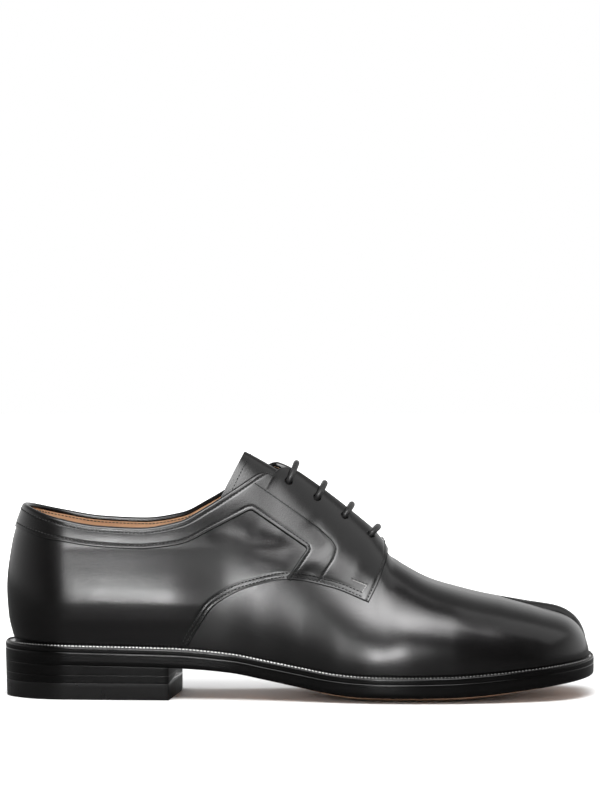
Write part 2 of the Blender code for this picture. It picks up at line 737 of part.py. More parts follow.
clear_scene()
ORIGIN = shoe_origin()
sole_notch = wedge("sole_notch", NOTCH_START, NOTCH_HALF_BACK, NOTCH_HALF_MOUTH)
insole_slot = wedge("insole_slot", INSOLE_SLOT_START, INSOLE_SLOT_HALF_BACK, INSOLE_SLOT_HALF_MOUTH)
cut(make_outsole(), sole_notch)
cut(make_welt(), sole_notch)
make_heel()
cut(make_insole(), insole_slot)
upper = make_upper()
make_tongue()
vamp_cutter = prism("vamp_cutter", vamp_side())
quarter_cutter = prism("quarter_cutter", quarter_side())
collar_lift = QUARTER_GAP + QUARTER_THICKNESS + COLLAR_GAP
for side, name in SIDE_NAMES.items():
    punch = make_eyelet_punch(side)
    quarter = make_panel("quarter_" + name, side, QUARTER_GAP, QUARTER_THICKNESS, QUARTER_LOWEST_SHARE)
    collar = make_panel("collar_" + name, side, collar_lift, COLLAR_THICKNESS, COLLAR_LOWEST_SHARE)
    cut(quarter, vamp_cutter)
    cut(collar, vamp_cutter)
    cut(collar, quarter_cutter)
    for leather in (upper, quarter, collar):
        cut(leather, punch)
make_lace_bars()
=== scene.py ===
"""The split toe derby for the right foot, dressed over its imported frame: leathers, seams, lace and sole.

Metres. +X runs to the toe, -Y is the outer (lateral) side and +Z is up. Shapes are worked out in the last's
own coordinates, which start at the back of the sole, and are moved into the frame as they become pieces.
"""

import bmesh
import bpy
import numpy as np
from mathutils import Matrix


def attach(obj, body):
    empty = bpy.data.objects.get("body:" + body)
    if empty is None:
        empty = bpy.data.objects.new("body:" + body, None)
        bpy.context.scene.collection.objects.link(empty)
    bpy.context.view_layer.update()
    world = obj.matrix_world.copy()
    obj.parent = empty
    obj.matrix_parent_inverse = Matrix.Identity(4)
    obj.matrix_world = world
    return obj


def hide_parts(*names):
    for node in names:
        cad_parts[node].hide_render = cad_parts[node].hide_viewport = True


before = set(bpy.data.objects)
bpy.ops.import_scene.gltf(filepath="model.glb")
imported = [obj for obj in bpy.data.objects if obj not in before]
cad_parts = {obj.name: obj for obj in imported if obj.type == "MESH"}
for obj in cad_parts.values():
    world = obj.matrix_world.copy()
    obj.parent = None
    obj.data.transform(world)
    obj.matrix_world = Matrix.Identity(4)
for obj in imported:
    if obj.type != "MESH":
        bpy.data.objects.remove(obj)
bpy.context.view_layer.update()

# Outsole: one plate of firm sole leather from heel to toe, crowned under the ball and notched at the split.
# Its edge is trimmed, inked black and burnished with wax, and the underside is left in its natural tan.
LATERAL, MEDIAL = -1, 1
SIDE_NAMES = {LATERAL: "lateral", MEDIAL: "medial"}
SOLE_LENGTH = 0.300
OUTSOLE_THICKNESS = 0.0062
HEEL_ROUND, HEEL_SHAPE = 0.033, 2.1
TOE_ROUND = {LATERAL: 0.046, MEDIAL: 0.030}
TOE_SHAPE, TOE_INSET_SHARE, TOE_CROWDING = 2.7, 0.7, 1.4
NOTCH_START, NOTCH_BACK, NOTCH_MOUTH, NOTCH_END = 0.2905, 0.0002, 0.0036, 0.304
EDGE_ROUND_START, EDGE_ROUND_RUN, EDGE_ROUND_HEIGHT = 0.092, 0.045, 0.0020
SOLE_TAN, SOLE_TAN_DEEP = (0.43, 0.27, 0.18, 1), (0.33, 0.19, 0.12, 1)
EDGE_INK, EDGE_WORN = (0.0008, 0.0008, 0.0008, 1), (0.0020, 0.0018, 0.0018, 1)
EDGE_SPECULAR = 0.24
CREASE_SCALE = 0.80
LAYER_SQUEEZE = (0.04, 0.04, 1.0)


def table(columns, rows):
    """A table's columns by name, as arrays."""
    return dict(zip(columns.split(), np.array(rows).T))


OUTLINE = table("along lateral medial", (
    (0.000, 0.0285, 0.0350), (0.033, 0.0308, 0.0345), (0.060, 0.0330, 0.0333), (0.085, 0.0348, 0.0315),
    (0.110, 0.0366, 0.0298), (0.130, 0.0400, 0.0300), (0.150, 0.0448, 0.0325), (0.170, 0.0502, 0.0375),
    (0.190, 0.0540, 0.0430), (0.207, 0.0552, 0.0470), (0.225, 0.0548, 0.0495), (0.245, 0.0522, 0.0503),
    (0.270, 0.0470, 0.0490), (0.300, 0.0385, 0.0440)))
MIDDLE_LINE = table("along y", (
    (0.000, 0.0025), (0.045, 0.0015), (0.085, -0.0015), (0.115, -0.0010), (0.139, 0.0005), (0.156, 0.0012),
    (0.180, 0.0022), (0.1885, 0.0025), (0.1925, 0.0027), (0.1965, 0.0029), (0.205, 0.0032),
    (0.217, 0.0038), (0.230, 0.0046), (0.243, 0.0055), (0.266, 0.0075), (0.300, 0.0110)))
UNDERSIDE = table("along middle rim", (
    (0.000, 0.0180, 0.0180), (0.045, 0.0171, 0.0171), (0.085, 0.0163, 0.0163), (0.115, 0.0136, 0.0138),
    (0.134, 0.0098, 0.0104), (0.150, 0.0060, 0.0075), (0.165, 0.0024, 0.0049), (0.178, 0.0004, 0.0037),
    (0.187, 0.0000, 0.0034), (0.205, 0.0000, 0.0033), (0.223, 0.0000, 0.0036), (0.240, 0.0012, 0.0045),
    (0.260, 0.0040, 0.0063), (0.280, 0.0074, 0.0083), (0.300, 0.0098, 0.0102)))

# Across the outsole from the middle of its underside to the middle of its top: inset from the edge, how far
# out from the middle line that row is drawn, share of the crown's drop, rise, and how much of it is inked
OUTSOLE_ROWS = np.array((
    (0.0240, 0.00, 1.00, 0.0, 0), (0.0240, 0.35, 1.00, 0.0, 0), (0.0240, 0.70, 1.00, 0.0, 0),
    (0.0240, 1.00, 1.00, 0.0, 0), (0.0160, 1.00, 0.86, 0.0, 0), (0.0095, 1.00, 0.58, 0.0, 0),
    (0.0060, 1.00, 0.39, 0.0, 0), (0.0042, 1.00, 0.28, 0.0, 0.15), (0.0028, 1.00, 0.19, 0.0001, 1),
    (0.0014, 1.00, 0.10, 0.0004, 1), (0.0006, 1.00, 0.04, 0.0008, 1), (0.0001, 1.00, 0.0, 0.0014, 1),
    (0.0, 1.00, 0.0, 0.0024, 1), (0.0, 1.00, 0.0, 0.0040, 1), (0.0, 1.00, 0.0, 0.0058, 1),
    (0.00006, 1.00, 0.0, 0.0063, 1), (0.0002, 1.00, 0.0, 0.00642, 1), (0.0008, 1.00, 0.0, 0.00645, 1),
    (0.0240, 1.00, 0.0, 0.00645, 1), (0.0240, 0.50, 0.0, 0.00645, 1), (0.0240, 0.00, 0.0, 0.00645, 1)))


def smooth(at, knots, values):
    """Monotone cubic through the knots: a slope is the harmonic mean of its neighbours, level at a turn."""
    at = np.clip(at, knots[0], knots[-1])
    steps = np.diff(values) / np.diff(knots)
    same_way = steps[1:] * steps[:-1] > 0
    both = np.where(same_way, steps[1:] + steps[:-1], 1.0)
    inner = np.where(same_way, 2 * steps[1:] * steps[:-1] / both, 0.0)
    slopes = np.concatenate([steps[:1], inner, steps[-1:]])
    i = np.clip(np.searchsorted(knots, at, side="right") - 1, 0, len(knots) - 2)
    width = knots[i + 1] - knots[i]
    u = (at - knots[i]) / width
    return (
        values[i] * (1 + 2 * u) * (1 - u) ** 2
        + values[i + 1] * (3 - 2 * u) * u**2
        + width * (slopes[i] * u * (1 - u) ** 2 - slopes[i + 1] * (1 - u) * u**2)
    )


def eased(u):
    """Smooth step from 0 to 1: three u squared less two u cubed."""
    u = np.clip(u, 0, 1)
    return u * u * (3 - 2 * u)


def rounding(u, power):
    """Superellipse quarter: 1 at u = 0, falling to 0 at u = 1."""
    return (1 - np.clip(u, 0, 1) ** power) ** (1 / power)


def middle(x):
    """y of the line that the outline closes on at both ends, and that the crest and the split follow."""
    return smooth(x, MIDDLE_LINE["along"], MIDDLE_LINE["y"])


def breadth(x, side, inset):
    """y of the plan outline at x, this far inside the sole's edge, closed by superellipses at both ends."""
    line = side * (smooth(x, OUTLINE["along"], OUTLINE[SIDE_NAMES[side]]) - inset)
    heel = rounding((HEEL_ROUND - x) / (HEEL_ROUND - inset), HEEL_SHAPE)
    reach = TOE_ROUND[side]
    toe = rounding((x - SOLE_LENGTH + reach) / (reach - TOE_INSET_SHARE * inset), TOE_SHAPE)
    return middle(x) + (line - middle(x)) * heel * toe


def along(share, inset):
    """x at this share of the length of an outline that lies this far inside the sole's edge."""
    return inset + share * (SOLE_LENGTH - (1 + TOE_INSET_SHARE) * inset)


def underside(x):
    """Height of the outsole's underside at its rim."""
    return smooth(x, UNDERSIDE["along"], UNDERSIDE["rim"])


def end_shares(heel_steps, middle_steps, toe_steps):
    """Stations along the length as shares: close together round the heel and the toe, even between them."""
    heel = HEEL_ROUND * (1 - np.cos(np.linspace(0, np.pi / 2, heel_steps + 1)))
    toe_start = SOLE_LENGTH - TOE_ROUND[LATERAL]
    waist = np.linspace(HEEL_ROUND, toe_start, middle_steps + 1)[1:-1]
    width = np.linspace(1, 0, toe_steps + 1) ** TOE_CROWDING
    toe = toe_start + TOE_ROUND[LATERAL] * (1 - width**TOE_SHAPE) ** (1 / TOE_SHAPE)
    return np.concatenate([heel, waist, toe]) / SOLE_LENGTH


def notched(points, start, half_back, half_mouth):
    """Points held behind an upright wedge at the split: x is at most the wedge's own x at that y."""
    off = np.abs(points[..., 1] - middle(points[..., 0]))
    flank = start + np.maximum(off - half_back, 0) / (half_mouth - half_back) * (NOTCH_END - start)
    return np.concatenate([np.minimum(points[..., :1], flank[..., None]), points[..., 1:]], axis=-1)


outline_x = along(np.linspace(0, 1, 2001), 0)
outline_centre = (breadth(outline_x, LATERAL, 0).min() + breadth(outline_x, MEDIAL, 0).max()) / 2
LAST_TO_FRAME = np.array((-SOLE_LENGTH / 2, -outline_centre, 0))


def grid_quads(rows, columns, start=0, wrap=False):
    """Corner numbers of the quads of a grid of points, row after row, closed across where wrap is set."""
    i, j = np.meshgrid(np.arange(rows - 1), np.arange(columns if wrap else columns - 1), indexing="ij")
    k = (j + 1) % columns
    corners = [i * columns + j, i * columns + k, (i + 1) * columns + k, (i + 1) * columns + j]
    return start + np.stack(corners, axis=-1).reshape(-1, 4)


def make_piece(name, points, faces, looks, marks=None, caps=()):
    """A piece from points, quads and end caps, moved into the frame. Points that coincide become one, faces
    are turned outwards, and each mark is kept on the points for the material to read."""
    points = np.asarray(points).reshape(-1, 3) + LAST_TO_FRAME
    used, numbers = np.unique(faces, return_inverse=True)
    if caps:
        used, numbers = np.arange(len(points)), np.asarray(faces)
    quads = numbers.reshape(-1, 4).tolist()
    mesh = bpy.data.meshes.new(name)
    mesh.from_pydata(points[used].tolist(), [], quads + [list(cap) for cap in caps])
    for mark, values in (marks or {}).items():
        stored = mesh.attributes.new(mark, "FLOAT", "POINT")
        stored.data.foreach_set("value", np.asarray(values, np.float32).ravel()[used])
    form = bmesh.new()
    form.from_mesh(mesh)
    bmesh.ops.remove_doubles(form, verts=form.verts, dist=2e-6)
    bmesh.ops.dissolve_degenerate(form, edges=form.edges, dist=1e-7)
    bmesh.ops.recalc_face_normals(form, faces=form.faces)
    form.to_mesh(mesh)
    form.free()
    mesh.shade_smooth()
    for look in looks:
        mesh.materials.append(look)
    piece = bpy.data.objects.new(name, mesh)
    bpy.context.scene.collection.objects.link(piece)
    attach(piece, "root")
    return piece


def add_node(tree, kind, inputs=None, **settings):
    """A shader node with its settings and inputs: a socket is linked, a plain value is stored."""
    made = tree.nodes.new(kind)
    for name, value in settings.items():
        setattr(made, name, value)
    for name, value in (inputs or {}).items():
        if isinstance(value, bpy.types.NodeSocket):
            tree.links.new(value, made.inputs[name])
        else:
            made.inputs[name].default_value = value
    return made


def new_group(name, inputs, outputs):
    """A shader node group with float sockets, and its input and output nodes."""
    group = bpy.data.node_groups.new(name, "ShaderNodeTree")
    for socket in inputs:
        group.interface.new_socket(socket, in_out="INPUT", socket_type="NodeSocketFloat")
    for socket in outputs:
        group.interface.new_socket(socket, in_out="OUTPUT", socket_type="NodeSocketFloat")
    return group, group.nodes.new("NodeGroupInput").outputs, group.nodes.new("NodeGroupOutput").inputs


def object_place(tree):
    """Where each point lies on its own piece, for a texture to read."""
    return add_node(tree, "ShaderNodeTexCoord").outputs["Object"]


def noise(tree, place, scale, detail, roughness=0.5):
    """Cloudy noise, about 0.5 on average."""
    inputs = {"Vector": place, "Scale": scale, "Detail": detail, "Roughness": roughness}
    return add_node(tree, "ShaderNodeTexNoise", inputs).outputs["Fac"]


def worked(tree, operation, first, second):
    """The result of one operation on two values."""
    return add_node(tree, "ShaderNodeMath", {0: first, 1: second}, operation=operation).outputs[0]


def read_mark(tree, name):
    """A mark kept on the points of a piece."""
    return add_node(tree, "ShaderNodeAttribute", attribute_name=name).outputs["Fac"]


def make_leather_grain():
    """Node group. Grain: rounded pebbles from cell distance, broken up by noise of nearly their size. Mottle:
    slow cloudy change over centimetres. Both run from 0 to 1."""
    group, given, result = new_group("leather_grain", ("Grain Scale", "Mottle Scale"), ("Grain", "Mottle"))
    place = object_place(group)
    pebbles = add_node(group, "ShaderNodeTexVoronoi", {"Vector": place, "Scale": given["Grain Scale"]},
                       feature="SMOOTH_F1")
    crease_scale = worked(group, "MULTIPLY", given["Grain Scale"], CREASE_SCALE)
    creases = noise(group, place, crease_scale, detail=4.0, roughness=0.6)
    dome = worked(group, "SUBTRACT", 1.0, pebbles.outputs["Distance"])
    group.links.new(worked(group, "MULTIPLY", dome, creases), result["Grain"])
    clouds = noise(group, place, given["Mottle Scale"], detail=3.0, roughness=0.55)
    group.links.new(clouds, result["Mottle"])
    return group


def make_burnished_layers():
    """Node group. Layers: fine level lines of a trimmed leather edge, from noise squeezed along the height.
    It runs from 0 to 1."""
    group, given, result = new_group("burnished_layers", ("Line Scale",), ("Layers",))
    place = object_place(group)
    squeezed = add_node(group, "ShaderNodeMapping", {"Vector": place, "Scale": LAYER_SQUEEZE})
    lines = noise(group, squeezed.outputs[0], given["Line Scale"], detail=3.0)
    group.links.new(lines, result["Layers"])
    return group


LEATHER_GRAIN = make_leather_grain()
BURNISHED_LAYERS = make_burnished_layers()


def new_look(name):
    """An empty material, its node tree and its Principled BSDF."""
    look = bpy.data.materials.new(name)
    look.use_nodes = True
    return look, look.node_tree, look.node_tree.nodes["Principled BSDF"].inputs


def place_group(tree, group, **values):
    """A group placed in a material with its own values, given as socket names with _ for a space."""
    placed = add_node(tree, "ShaderNodeGroup", node_tree=group)
    for name, value in values.items():
        placed.inputs[name.replace("_", " ")].default_value = value
    return placed.outputs


def mix_colours(tree, factor, first, second):
    """A colour between two, by a factor that changes over the surface."""
    mixed = add_node(tree, "ShaderNodeMix", data_type="RGBA")
    tree.links.new(factor, mixed.inputs["Factor"])
    for socket, colour in ((mixed.inputs[6], first), (mixed.inputs[7], second)):
        if isinstance(colour, bpy.types.NodeSocket):
            tree.links.new(colour, socket)
        else:
            socket.default_value = colour
    return mixed.outputs[2]


def spread(tree, value, low, high, start=0.3, end=0.7):
    """A value carried from the range start to end on to the range low to high."""
    ranged = add_node(tree, "ShaderNodeMapRange",
                      {"Value": value, "From Min": start, "From Max": end, "To Min": low, "To Max": high})
    return ranged.outputs["Result"]


def add_bump(tree, shader, height, strength, distance):
    """A bump from a height into the shader's normal."""
    bump = add_node(tree, "ShaderNodeBump", {"Height": height, "Strength": strength, "Distance": distance})
    tree.links.new(bump.outputs["Normal"], shader["Normal"])


def make_outsole_look():
    """Natural tan sole leather, passing to black ink and wax where the ink mark is 1."""
    look, tree, shader = new_look("outsole_leather")
    grain = place_group(tree, LEATHER_GRAIN, Grain_Scale=900.0, Mottle_Scale=55.0)
    layers = place_group(tree, BURNISHED_LAYERS, Line_Scale=1500.0)
    ink = read_mark(tree, "ink")
    tan = mix_colours(tree, spread(tree, grain["Mottle"], 0.0, 1.0), SOLE_TAN, SOLE_TAN_DEEP)
    black = mix_colours(tree, spread(tree, layers["Layers"], 0.0, 1.0), EDGE_INK, EDGE_WORN)
    tree.links.new(mix_colours(tree, ink, tan, black), shader["Base Color"])
    tree.links.new(spread(tree, ink, 0.55, 0.17, 0.0, 1.0), shader["Roughness"])
    tree.links.new(spread(tree, ink, 0.5, EDGE_SPECULAR, 0.0, 1.0), shader["Specular IOR Level"])
    height = add_node(tree, "ShaderNodeMix", {"Factor": ink, 2: grain["Grain"], 3: layers["Layers"]})
    add_bump(tree, shader, height.outputs[0], strength=0.05, distance=0.0002)
    return look


def outsole_points(side, stations):
    """One half of the outsole: for each station the rows run from the middle of the underside, round the edge
    and back to the middle of the top, and the toe is held behind the notch."""
    inset, drawn, crown, rise, ink = OUTSOLE_ROWS.T
    x = along(stations[:, None], inset)
    y = middle(x) + drawn * (breadth(x, side, inset) - middle(x))
    drop = underside(x) - smooth(x, UNDERSIDE["along"], UNDERSIDE["middle"])
    round_off = np.where(rise < EDGE_ROUND_HEIGHT, eased((x - EDGE_ROUND_START) / EDGE_ROUND_RUN), 1.0)
    points = np.stack([x, y, underside(x) - crown * drop + rise * round_off], axis=-1)
    return notched(points, NOTCH_START, NOTCH_BACK, NOTCH_MOUTH), np.broadcast_to(ink, x.shape)


def join_halves(halves):
    """Points and quads of grids of one size, put one after the other."""
    rows, columns = halves[0].shape[:2]
    quads = [grid_quads(rows, columns, start=number * rows * columns) for number in range(len(halves))]
    return np.concatenate([half.reshape(-1, 3) for half in halves]), np.concatenate(quads)


stations = end_shares(26, 84, 44)
outsole_halves = [outsole_points(side, stations) for side in (LATERAL, MEDIAL)]
points, faces = join_halves([half for half, ink in outsole_halves])
ink_mark = np.concatenate([ink.ravel() for half, ink in outsole_halves])
outsole = make_piece("outsole_leather", points, faces, [make_outsole_look()], {"ink": ink_mark})
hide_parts("outsole")

# Welt: a strip of leather sewn round the upper and down through the outsole, inked black like its edge.
# Near-black waxed thread lies in a shallow channel near its outer edge, with a painted highlight on the
# waist.
SEAM_GAP = 0.0003
WELT_THICKNESS = 0.0030
WELT_INSIDE = 0.0070
CHANNEL_INSET, CHANNEL_HEIGHT = 0.0011, 0.0029
WELT_PITCH, WELT_STITCH, WELT_THREAD = 0.0018, 0.00155, 0.00050
# Where the welt thread's painted highlight fades out: forward of a start over a run, and behind a heel end
# over its run
HIGHLIGHT_FADE_START, HIGHLIGHT_FADE_RUN, HIGHLIGHT_HEEL_END, HIGHLIGHT_HEEL_RUN = 0.130, 0.080, 0.034, 0.012
WELT_ROWS = np.array((
    (0.0006, 0.0), (0.0002, 0.00003), (0.00006, 0.00016), (0.0, 0.0006), (0.0, 0.0014), (0.0, 0.0021),
    (0.0001, 0.0025), (0.0003, 0.0028), (0.0006, 0.00296), (0.0009, 0.0029), (0.0012, 0.0028),
    (0.0015, 0.0029), (0.0018, 0.0030), (0.0026, 0.0030), (0.0036, 0.0030), (0.0046, 0.0030),
    (WELT_INSIDE, 0.0030), (WELT_INSIDE, 0.0)))


def welt_base(x):
    """Height of the welt's underside: the outsole's top and the thin line of the seam."""
    return underside(x) + OUTSOLE_THICKNESS + SEAM_GAP


def welt_loop(stations, inset, rise):
    """Points of one row of the welt: from the heel along the outer side to the toe, back along the inner."""
    rows = []
    for side, run in ((LATERAL, stations), (MEDIAL, stations[-2:0:-1])):
        x = along(run[:, None], inset)
        rows.append(np.stack([x, breadth(x, side, inset), welt_base(x) + rise], axis=-1))
    return notched(np.concatenate(rows), NOTCH_START, NOTCH_BACK, NOTCH_MOUTH)


def make_inked_look(name, roughness_low, roughness_high, line_scale):
    """Trimmed leather edge: black ink over fine level layers, waxed, with a little wear in its gloss."""
    look, tree, shader = new_look(name)
    grain = place_group(tree, LEATHER_GRAIN, Grain_Scale=1300.0, Mottle_Scale=90.0)
    layers = place_group(tree, BURNISHED_LAYERS, Line_Scale=line_scale)
    worn = spread(tree, layers["Layers"], 0.0, 1.0)
    tree.links.new(mix_colours(tree, worn, EDGE_INK, EDGE_WORN), shader["Base Color"])
    tree.links.new(spread(tree, grain["Mottle"], roughness_low, roughness_high), shader["Roughness"])
    shader["Specular IOR Level"].default_value = EDGE_SPECULAR
    height = worked(tree, "ADD", layers["Layers"], grain["Grain"])
    add_bump(tree, shader, height, strength=0.04, distance=0.0002)
    return look


def path_frames(path):
    """Distance along a path of points, and its unit tangents."""
    steps = np.linalg.norm(np.diff(path, axis=0), axis=1)
    run = np.concatenate([[0], np.cumsum(steps)])
    tangent = np.gradient(path, axis=0)
    return run, tangent / np.linalg.norm(tangent, axis=1, keepdims=True)


STITCH_RUN = np.array((-1.0, -0.72, 0.0, 0.72, 1.0))
STITCH_SWELL = np.array((0.0, 0.85, 1.0, 0.85, 0.0))
STITCH_DIP = np.array((-0.9, -0.25, 0.1, -0.25, -0.9))
RING_POINTS = 6
THREAD_GRAIN, THREAD_SHEEN = 2600.0, 0.08


def stitch_row(path, normal, pitch, length, radius):
    """Points of a row of stitches: short spindles of five rings of six points laid along a path, their ends
    dipping into the leather."""
    run, tangent = path_frames(path)
    at = np.arange(pitch / 2, run[-1], pitch)
    centre, out, way = (
        np.stack([np.interp(at, run, values[:, axis]) for axis in range(3)], axis=1)
        for values in (path, normal, tangent)
    )
    across = np.cross(out, way)
    across /= np.linalg.norm(across, axis=1, keepdims=True)
    angle = np.linspace(0, 2 * np.pi, RING_POINTS, endpoint=False)
    ring = np.cos(angle)[:, None] * across[:, None, None] + np.sin(angle)[:, None] * out[:, None, None]
    swell = (radius * STITCH_SWELL)[:, None, None] * ring
    spine = (length / 2 * STITCH_RUN)[:, None] * way[:, None] + (radius * STITCH_DIP)[:, None] * out[:, None]
    return centre[:, None, None] + spine[:, :, None] + swell


def join_stitches(rows):
    """Points and quads of rows of stitches put together."""
    points = np.concatenate(rows)
    one = grid_quads(len(STITCH_RUN), RING_POINTS, wrap=True)
    size = len(STITCH_RUN) * RING_POINTS
    faces = (one[None] + size * np.arange(len(points))[:, None, None]).reshape(-1, 4)
    return points.reshape(-1, 3), faces


def make_thread_look(name, dark, light, roughness, beyond_highlight=None):
    """Waxed thread: two close tones by fine noise, with a fuzzed twist in its bump. Where a colour beyond the
    highlight is given, the two tones are a painted highlight, and the thread passes to that colour as the
    highlight fade mark goes to 1."""
    look, tree, shader = new_look(name)
    twist = noise(tree, object_place(tree), THREAD_GRAIN, detail=2.0)
    colour = mix_colours(tree, spread(tree, twist, 0.0, 1.0), dark, light)
    if beyond_highlight:
        colour = mix_colours(tree, read_mark(tree, "highlight_fade"), colour, beyond_highlight)
    tree.links.new(colour, shader["Base Color"])
    gloss = spread(tree, twist, roughness - THREAD_SHEEN, roughness + THREAD_SHEEN)
    tree.links.new(gloss, shader["Roughness"])
    add_bump(tree, shader, twist, strength=0.4, distance=0.0001)
    return look


welt_rows = [welt_loop(stations, inset, rise) for inset, rise in WELT_ROWS]
points = np.concatenate(welt_rows, axis=1)
points = np.concatenate([points, points[:1]])
faces = grid_quads(*points.shape[:2], wrap=True)
WELT_LOOK = make_inked_look("welt_leather", roughness_low=0.15, roughness_high=0.21, line_scale=1800.0)
welt = make_piece("welt_strip", points, faces, [WELT_LOOK])
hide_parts("welt")

stitch_path = welt_loop(stations, CHANNEL_INSET, CHANNEL_HEIGHT + 0.4 * WELT_THREAD)[:, 0]
up = np.broadcast_to(np.array((0.0, 0.0, 1.0)), stitch_path.shape)
points, faces = join_stitches([stitch_row(stitch_path, up, WELT_PITCH, WELT_STITCH, WELT_THREAD)])
# The welt thread's pale grey tones are a painted highlight; away from it the thread takes its own near-black
WELT_THREAD_LOOK = make_thread_look(
    "welt_thread", dark=(0.45, 0.445, 0.44, 1), light=(0.78, 0.775, 0.77, 1), roughness=0.36,
    beyond_highlight=(0.055, 0.054, 0.053, 1))
# Mark of where the painted highlight fades out: 1 forward of the waist and round the heel's back, 0 between
front_fade = eased((points[:, 0] - HIGHLIGHT_FADE_START) / HIGHLIGHT_FADE_RUN)
heel_fade = eased((HIGHLIGHT_HEEL_END - points[:, 0]) / HIGHLIGHT_HEEL_RUN)
highlight_fade = np.clip(front_fade + heel_fade, 0, 1)
welt_stitches = make_piece("welt_stitches", points, faces, [WELT_THREAD_LOOK], {"highlight_fade": highlight_fade})

# Heel: a low stack under the seat of the sole, two inked leather lifts nailed and glued over a moulded
# rubber top piece. Its sides draw in a little downwards and its front face is cut straight across.
TOP_PIECE_HEIGHT = 0.0083
HEEL_BREAST = {LATERAL: 0.0843, MEDIAL: 0.0892}
HEEL_TAPER = 0.035
HEEL_CORNER, LIFT_SEAM, LIFT_INSET = 0.00012, 0.00004, 0.0001
HEEL_CORE, HEEL_SOFT, HEEL_SOFT_ANGLE = 0.016, 0.0001, 50
RUBBER_BLACK, RUBBER_GREY = (0.0025, 0.0024, 0.0024, 1), (0.0050, 0.0048, 0.0048, 1)
breast_seat = float(underside(HEEL_BREAST[LATERAL]))
lift_joint = (TOP_PIECE_HEIGHT + breast_seat) / 2


def heel_layer(low, high):
    """Loops round one layer of the heel, from the back to the front face: lower middle, lower corner, side
    with its taper, upper corner and upper middle, and the same back along the inner side. low and high give
    the heights of its faces as functions of x."""
    angle = np.linspace(0, np.pi / 2, 25)
    reach = HEEL_ROUND / HEEL_BREAST[LATERAL]
    shares = np.concatenate([reach * (1 - np.cos(angle)), np.linspace(reach, 1, 21)[1:]])[:, None]
    start = np.zeros(1)
    taper_low = HEEL_TAPER * max(breast_seat - low(start)[0], 0) + LIFT_INSET
    taper_high = HEEL_TAPER * max(breast_seat - high(start)[0], 0) + LIFT_INSET
    turn = np.linspace(0, np.pi / 2, 5)
    corner_in, corner_up = HEEL_CORNER * (1 - np.sin(turn)), HEEL_CORNER * (1 - np.cos(turn))
    inset = np.concatenate([[HEEL_CORE], taper_low + corner_in, np.linspace(taper_low, taper_high, 5)[1:-1],
                            taper_high + corner_in[::-1], [HEEL_CORE]])
    rise = np.concatenate([[0], corner_up, np.full(3, HEEL_CORNER), np.zeros(6)])
    share_up = np.concatenate([np.zeros(6), np.linspace(0, 1, 5)[1:-1], np.ones(6)])
    fall = np.concatenate([np.zeros(9), corner_up[::-1], [0]])
    halves = []
    for side in (LATERAL, MEDIAL):
        x = inset + shares * (HEEL_BREAST[side] - inset)
        z = (1 - share_up) * (low(x) + rise) + share_up * (high(x) - fall)
        halves.append(np.stack([x, breadth(x, side, inset), z], axis=-1))
    return np.concatenate([halves[0], halves[1][:, ::-1]], axis=1)


def level(height):
    """A height that is the same at every x."""
    return lambda x: np.full_like(x, height)


def soften(piece, width, angle):
    """Rounds the edges of a piece that turn by more than an angle in degrees."""
    softened = piece.modifiers.new("softened", "BEVEL")
    softened.width = width
    softened.segments = 2
    softened.angle_limit = np.radians(angle)


def make_heel_piece(name, node, look, low, high):
    """One layer of the heel: its loops, closed over the front face, with the face's edges softened."""
    points = heel_layer(low, high)
    rows, around = points.shape[:2]
    front = range((rows - 1) * around, rows * around)
    piece = make_piece(name, points, grid_quads(rows, around, wrap=True), [look], caps=[front])
    soften(piece, HEEL_SOFT, HEEL_SOFT_ANGLE)
    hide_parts(node)


def make_rubber_look():
    """Moulded rubber: dull black, faintly speckled, scuffed in its gloss."""
    look, tree, shader = new_look("top_piece_rubber")
    place = object_place(tree)
    speckle = noise(tree, place, scale=1800.0, detail=3.0)
    scuffs = noise(tree, place, scale=110.0, detail=4.0)
    tone = spread(tree, speckle, 0.0, 1.0)
    tree.links.new(mix_colours(tree, tone, RUBBER_BLACK, RUBBER_GREY), shader["Base Color"])
    tree.links.new(spread(tree, scuffs, low=0.26, high=0.38), shader["Roughness"])
    shader["Specular IOR Level"].default_value = EDGE_SPECULAR
    add_bump(tree, shader, speckle, strength=0.3, distance=0.0001)
    return look


LIFT_LOOK = make_inked_look(
    "heel_lift_leather", roughness_low=0.13, roughness_high=0.18, line_scale=1100.0)
make_heel_piece("heel_rubber_top_piece", "heel_top_piece", make_rubber_look(),
                level(0.0), level(TOP_PIECE_HEIGHT))
make_heel_piece("heel_leather_lift_lower", "heel_lift_lower", LIFT_LOOK,
                level(TOP_PIECE_HEIGHT + LIFT_SEAM), level(lift_joint))
make_heel_piece("heel_leather_lift_upper", "heel_lift_upper", LIFT_LOOK,
                level(lift_joint + LIFT_SEAM), lambda x: underside(x) - LIFT_SEAM)

# Insole: a leather board inside the welt that the foot stands on, slotted where the split comes down, with a
# thin tan sock glued over its heel half.
INSOLE_INSET = 0.0092
SLOT_START, SLOT_BACK, SLOT_MOUTH = 0.2735, 0.0040, 0.0075
INSOLE_ROWS = np.array((
    (0.026, 0.0, 0.0), (0.026, 1.0, 0.0), (INSOLE_INSET, 1.0, 0.0), (INSOLE_INSET, 1.0, 0.0042),
    (INSOLE_INSET + 0.0004, 1.0, 0.0048), (INSOLE_INSET + 0.0012, 1.0, 0.0050), (0.026, 1.0, 0.0047),
    (0.026, 0.5, 0.0045), (0.026, 0.0, 0.0045)))
SOCK_ROWS = np.array((
    (0.026, 0.0, 0.0046), (0.026, 1.0, 0.0048), (INSOLE_INSET + 0.0014, 1.0, 0.00505),
    (0.0076, 1.0, 0.0052), (0.0071, 1.0, 0.0056), (0.0078, 1.0, 0.0060), (0.020, 1.0, 0.0057),
    (0.026, 0.5, 0.0055), (0.026, 0.0, 0.0055)))
SOCK_FRONT, SOCK_BOW, SOCK_HEEL_SHARE = 0.112, 0.012, 0.3


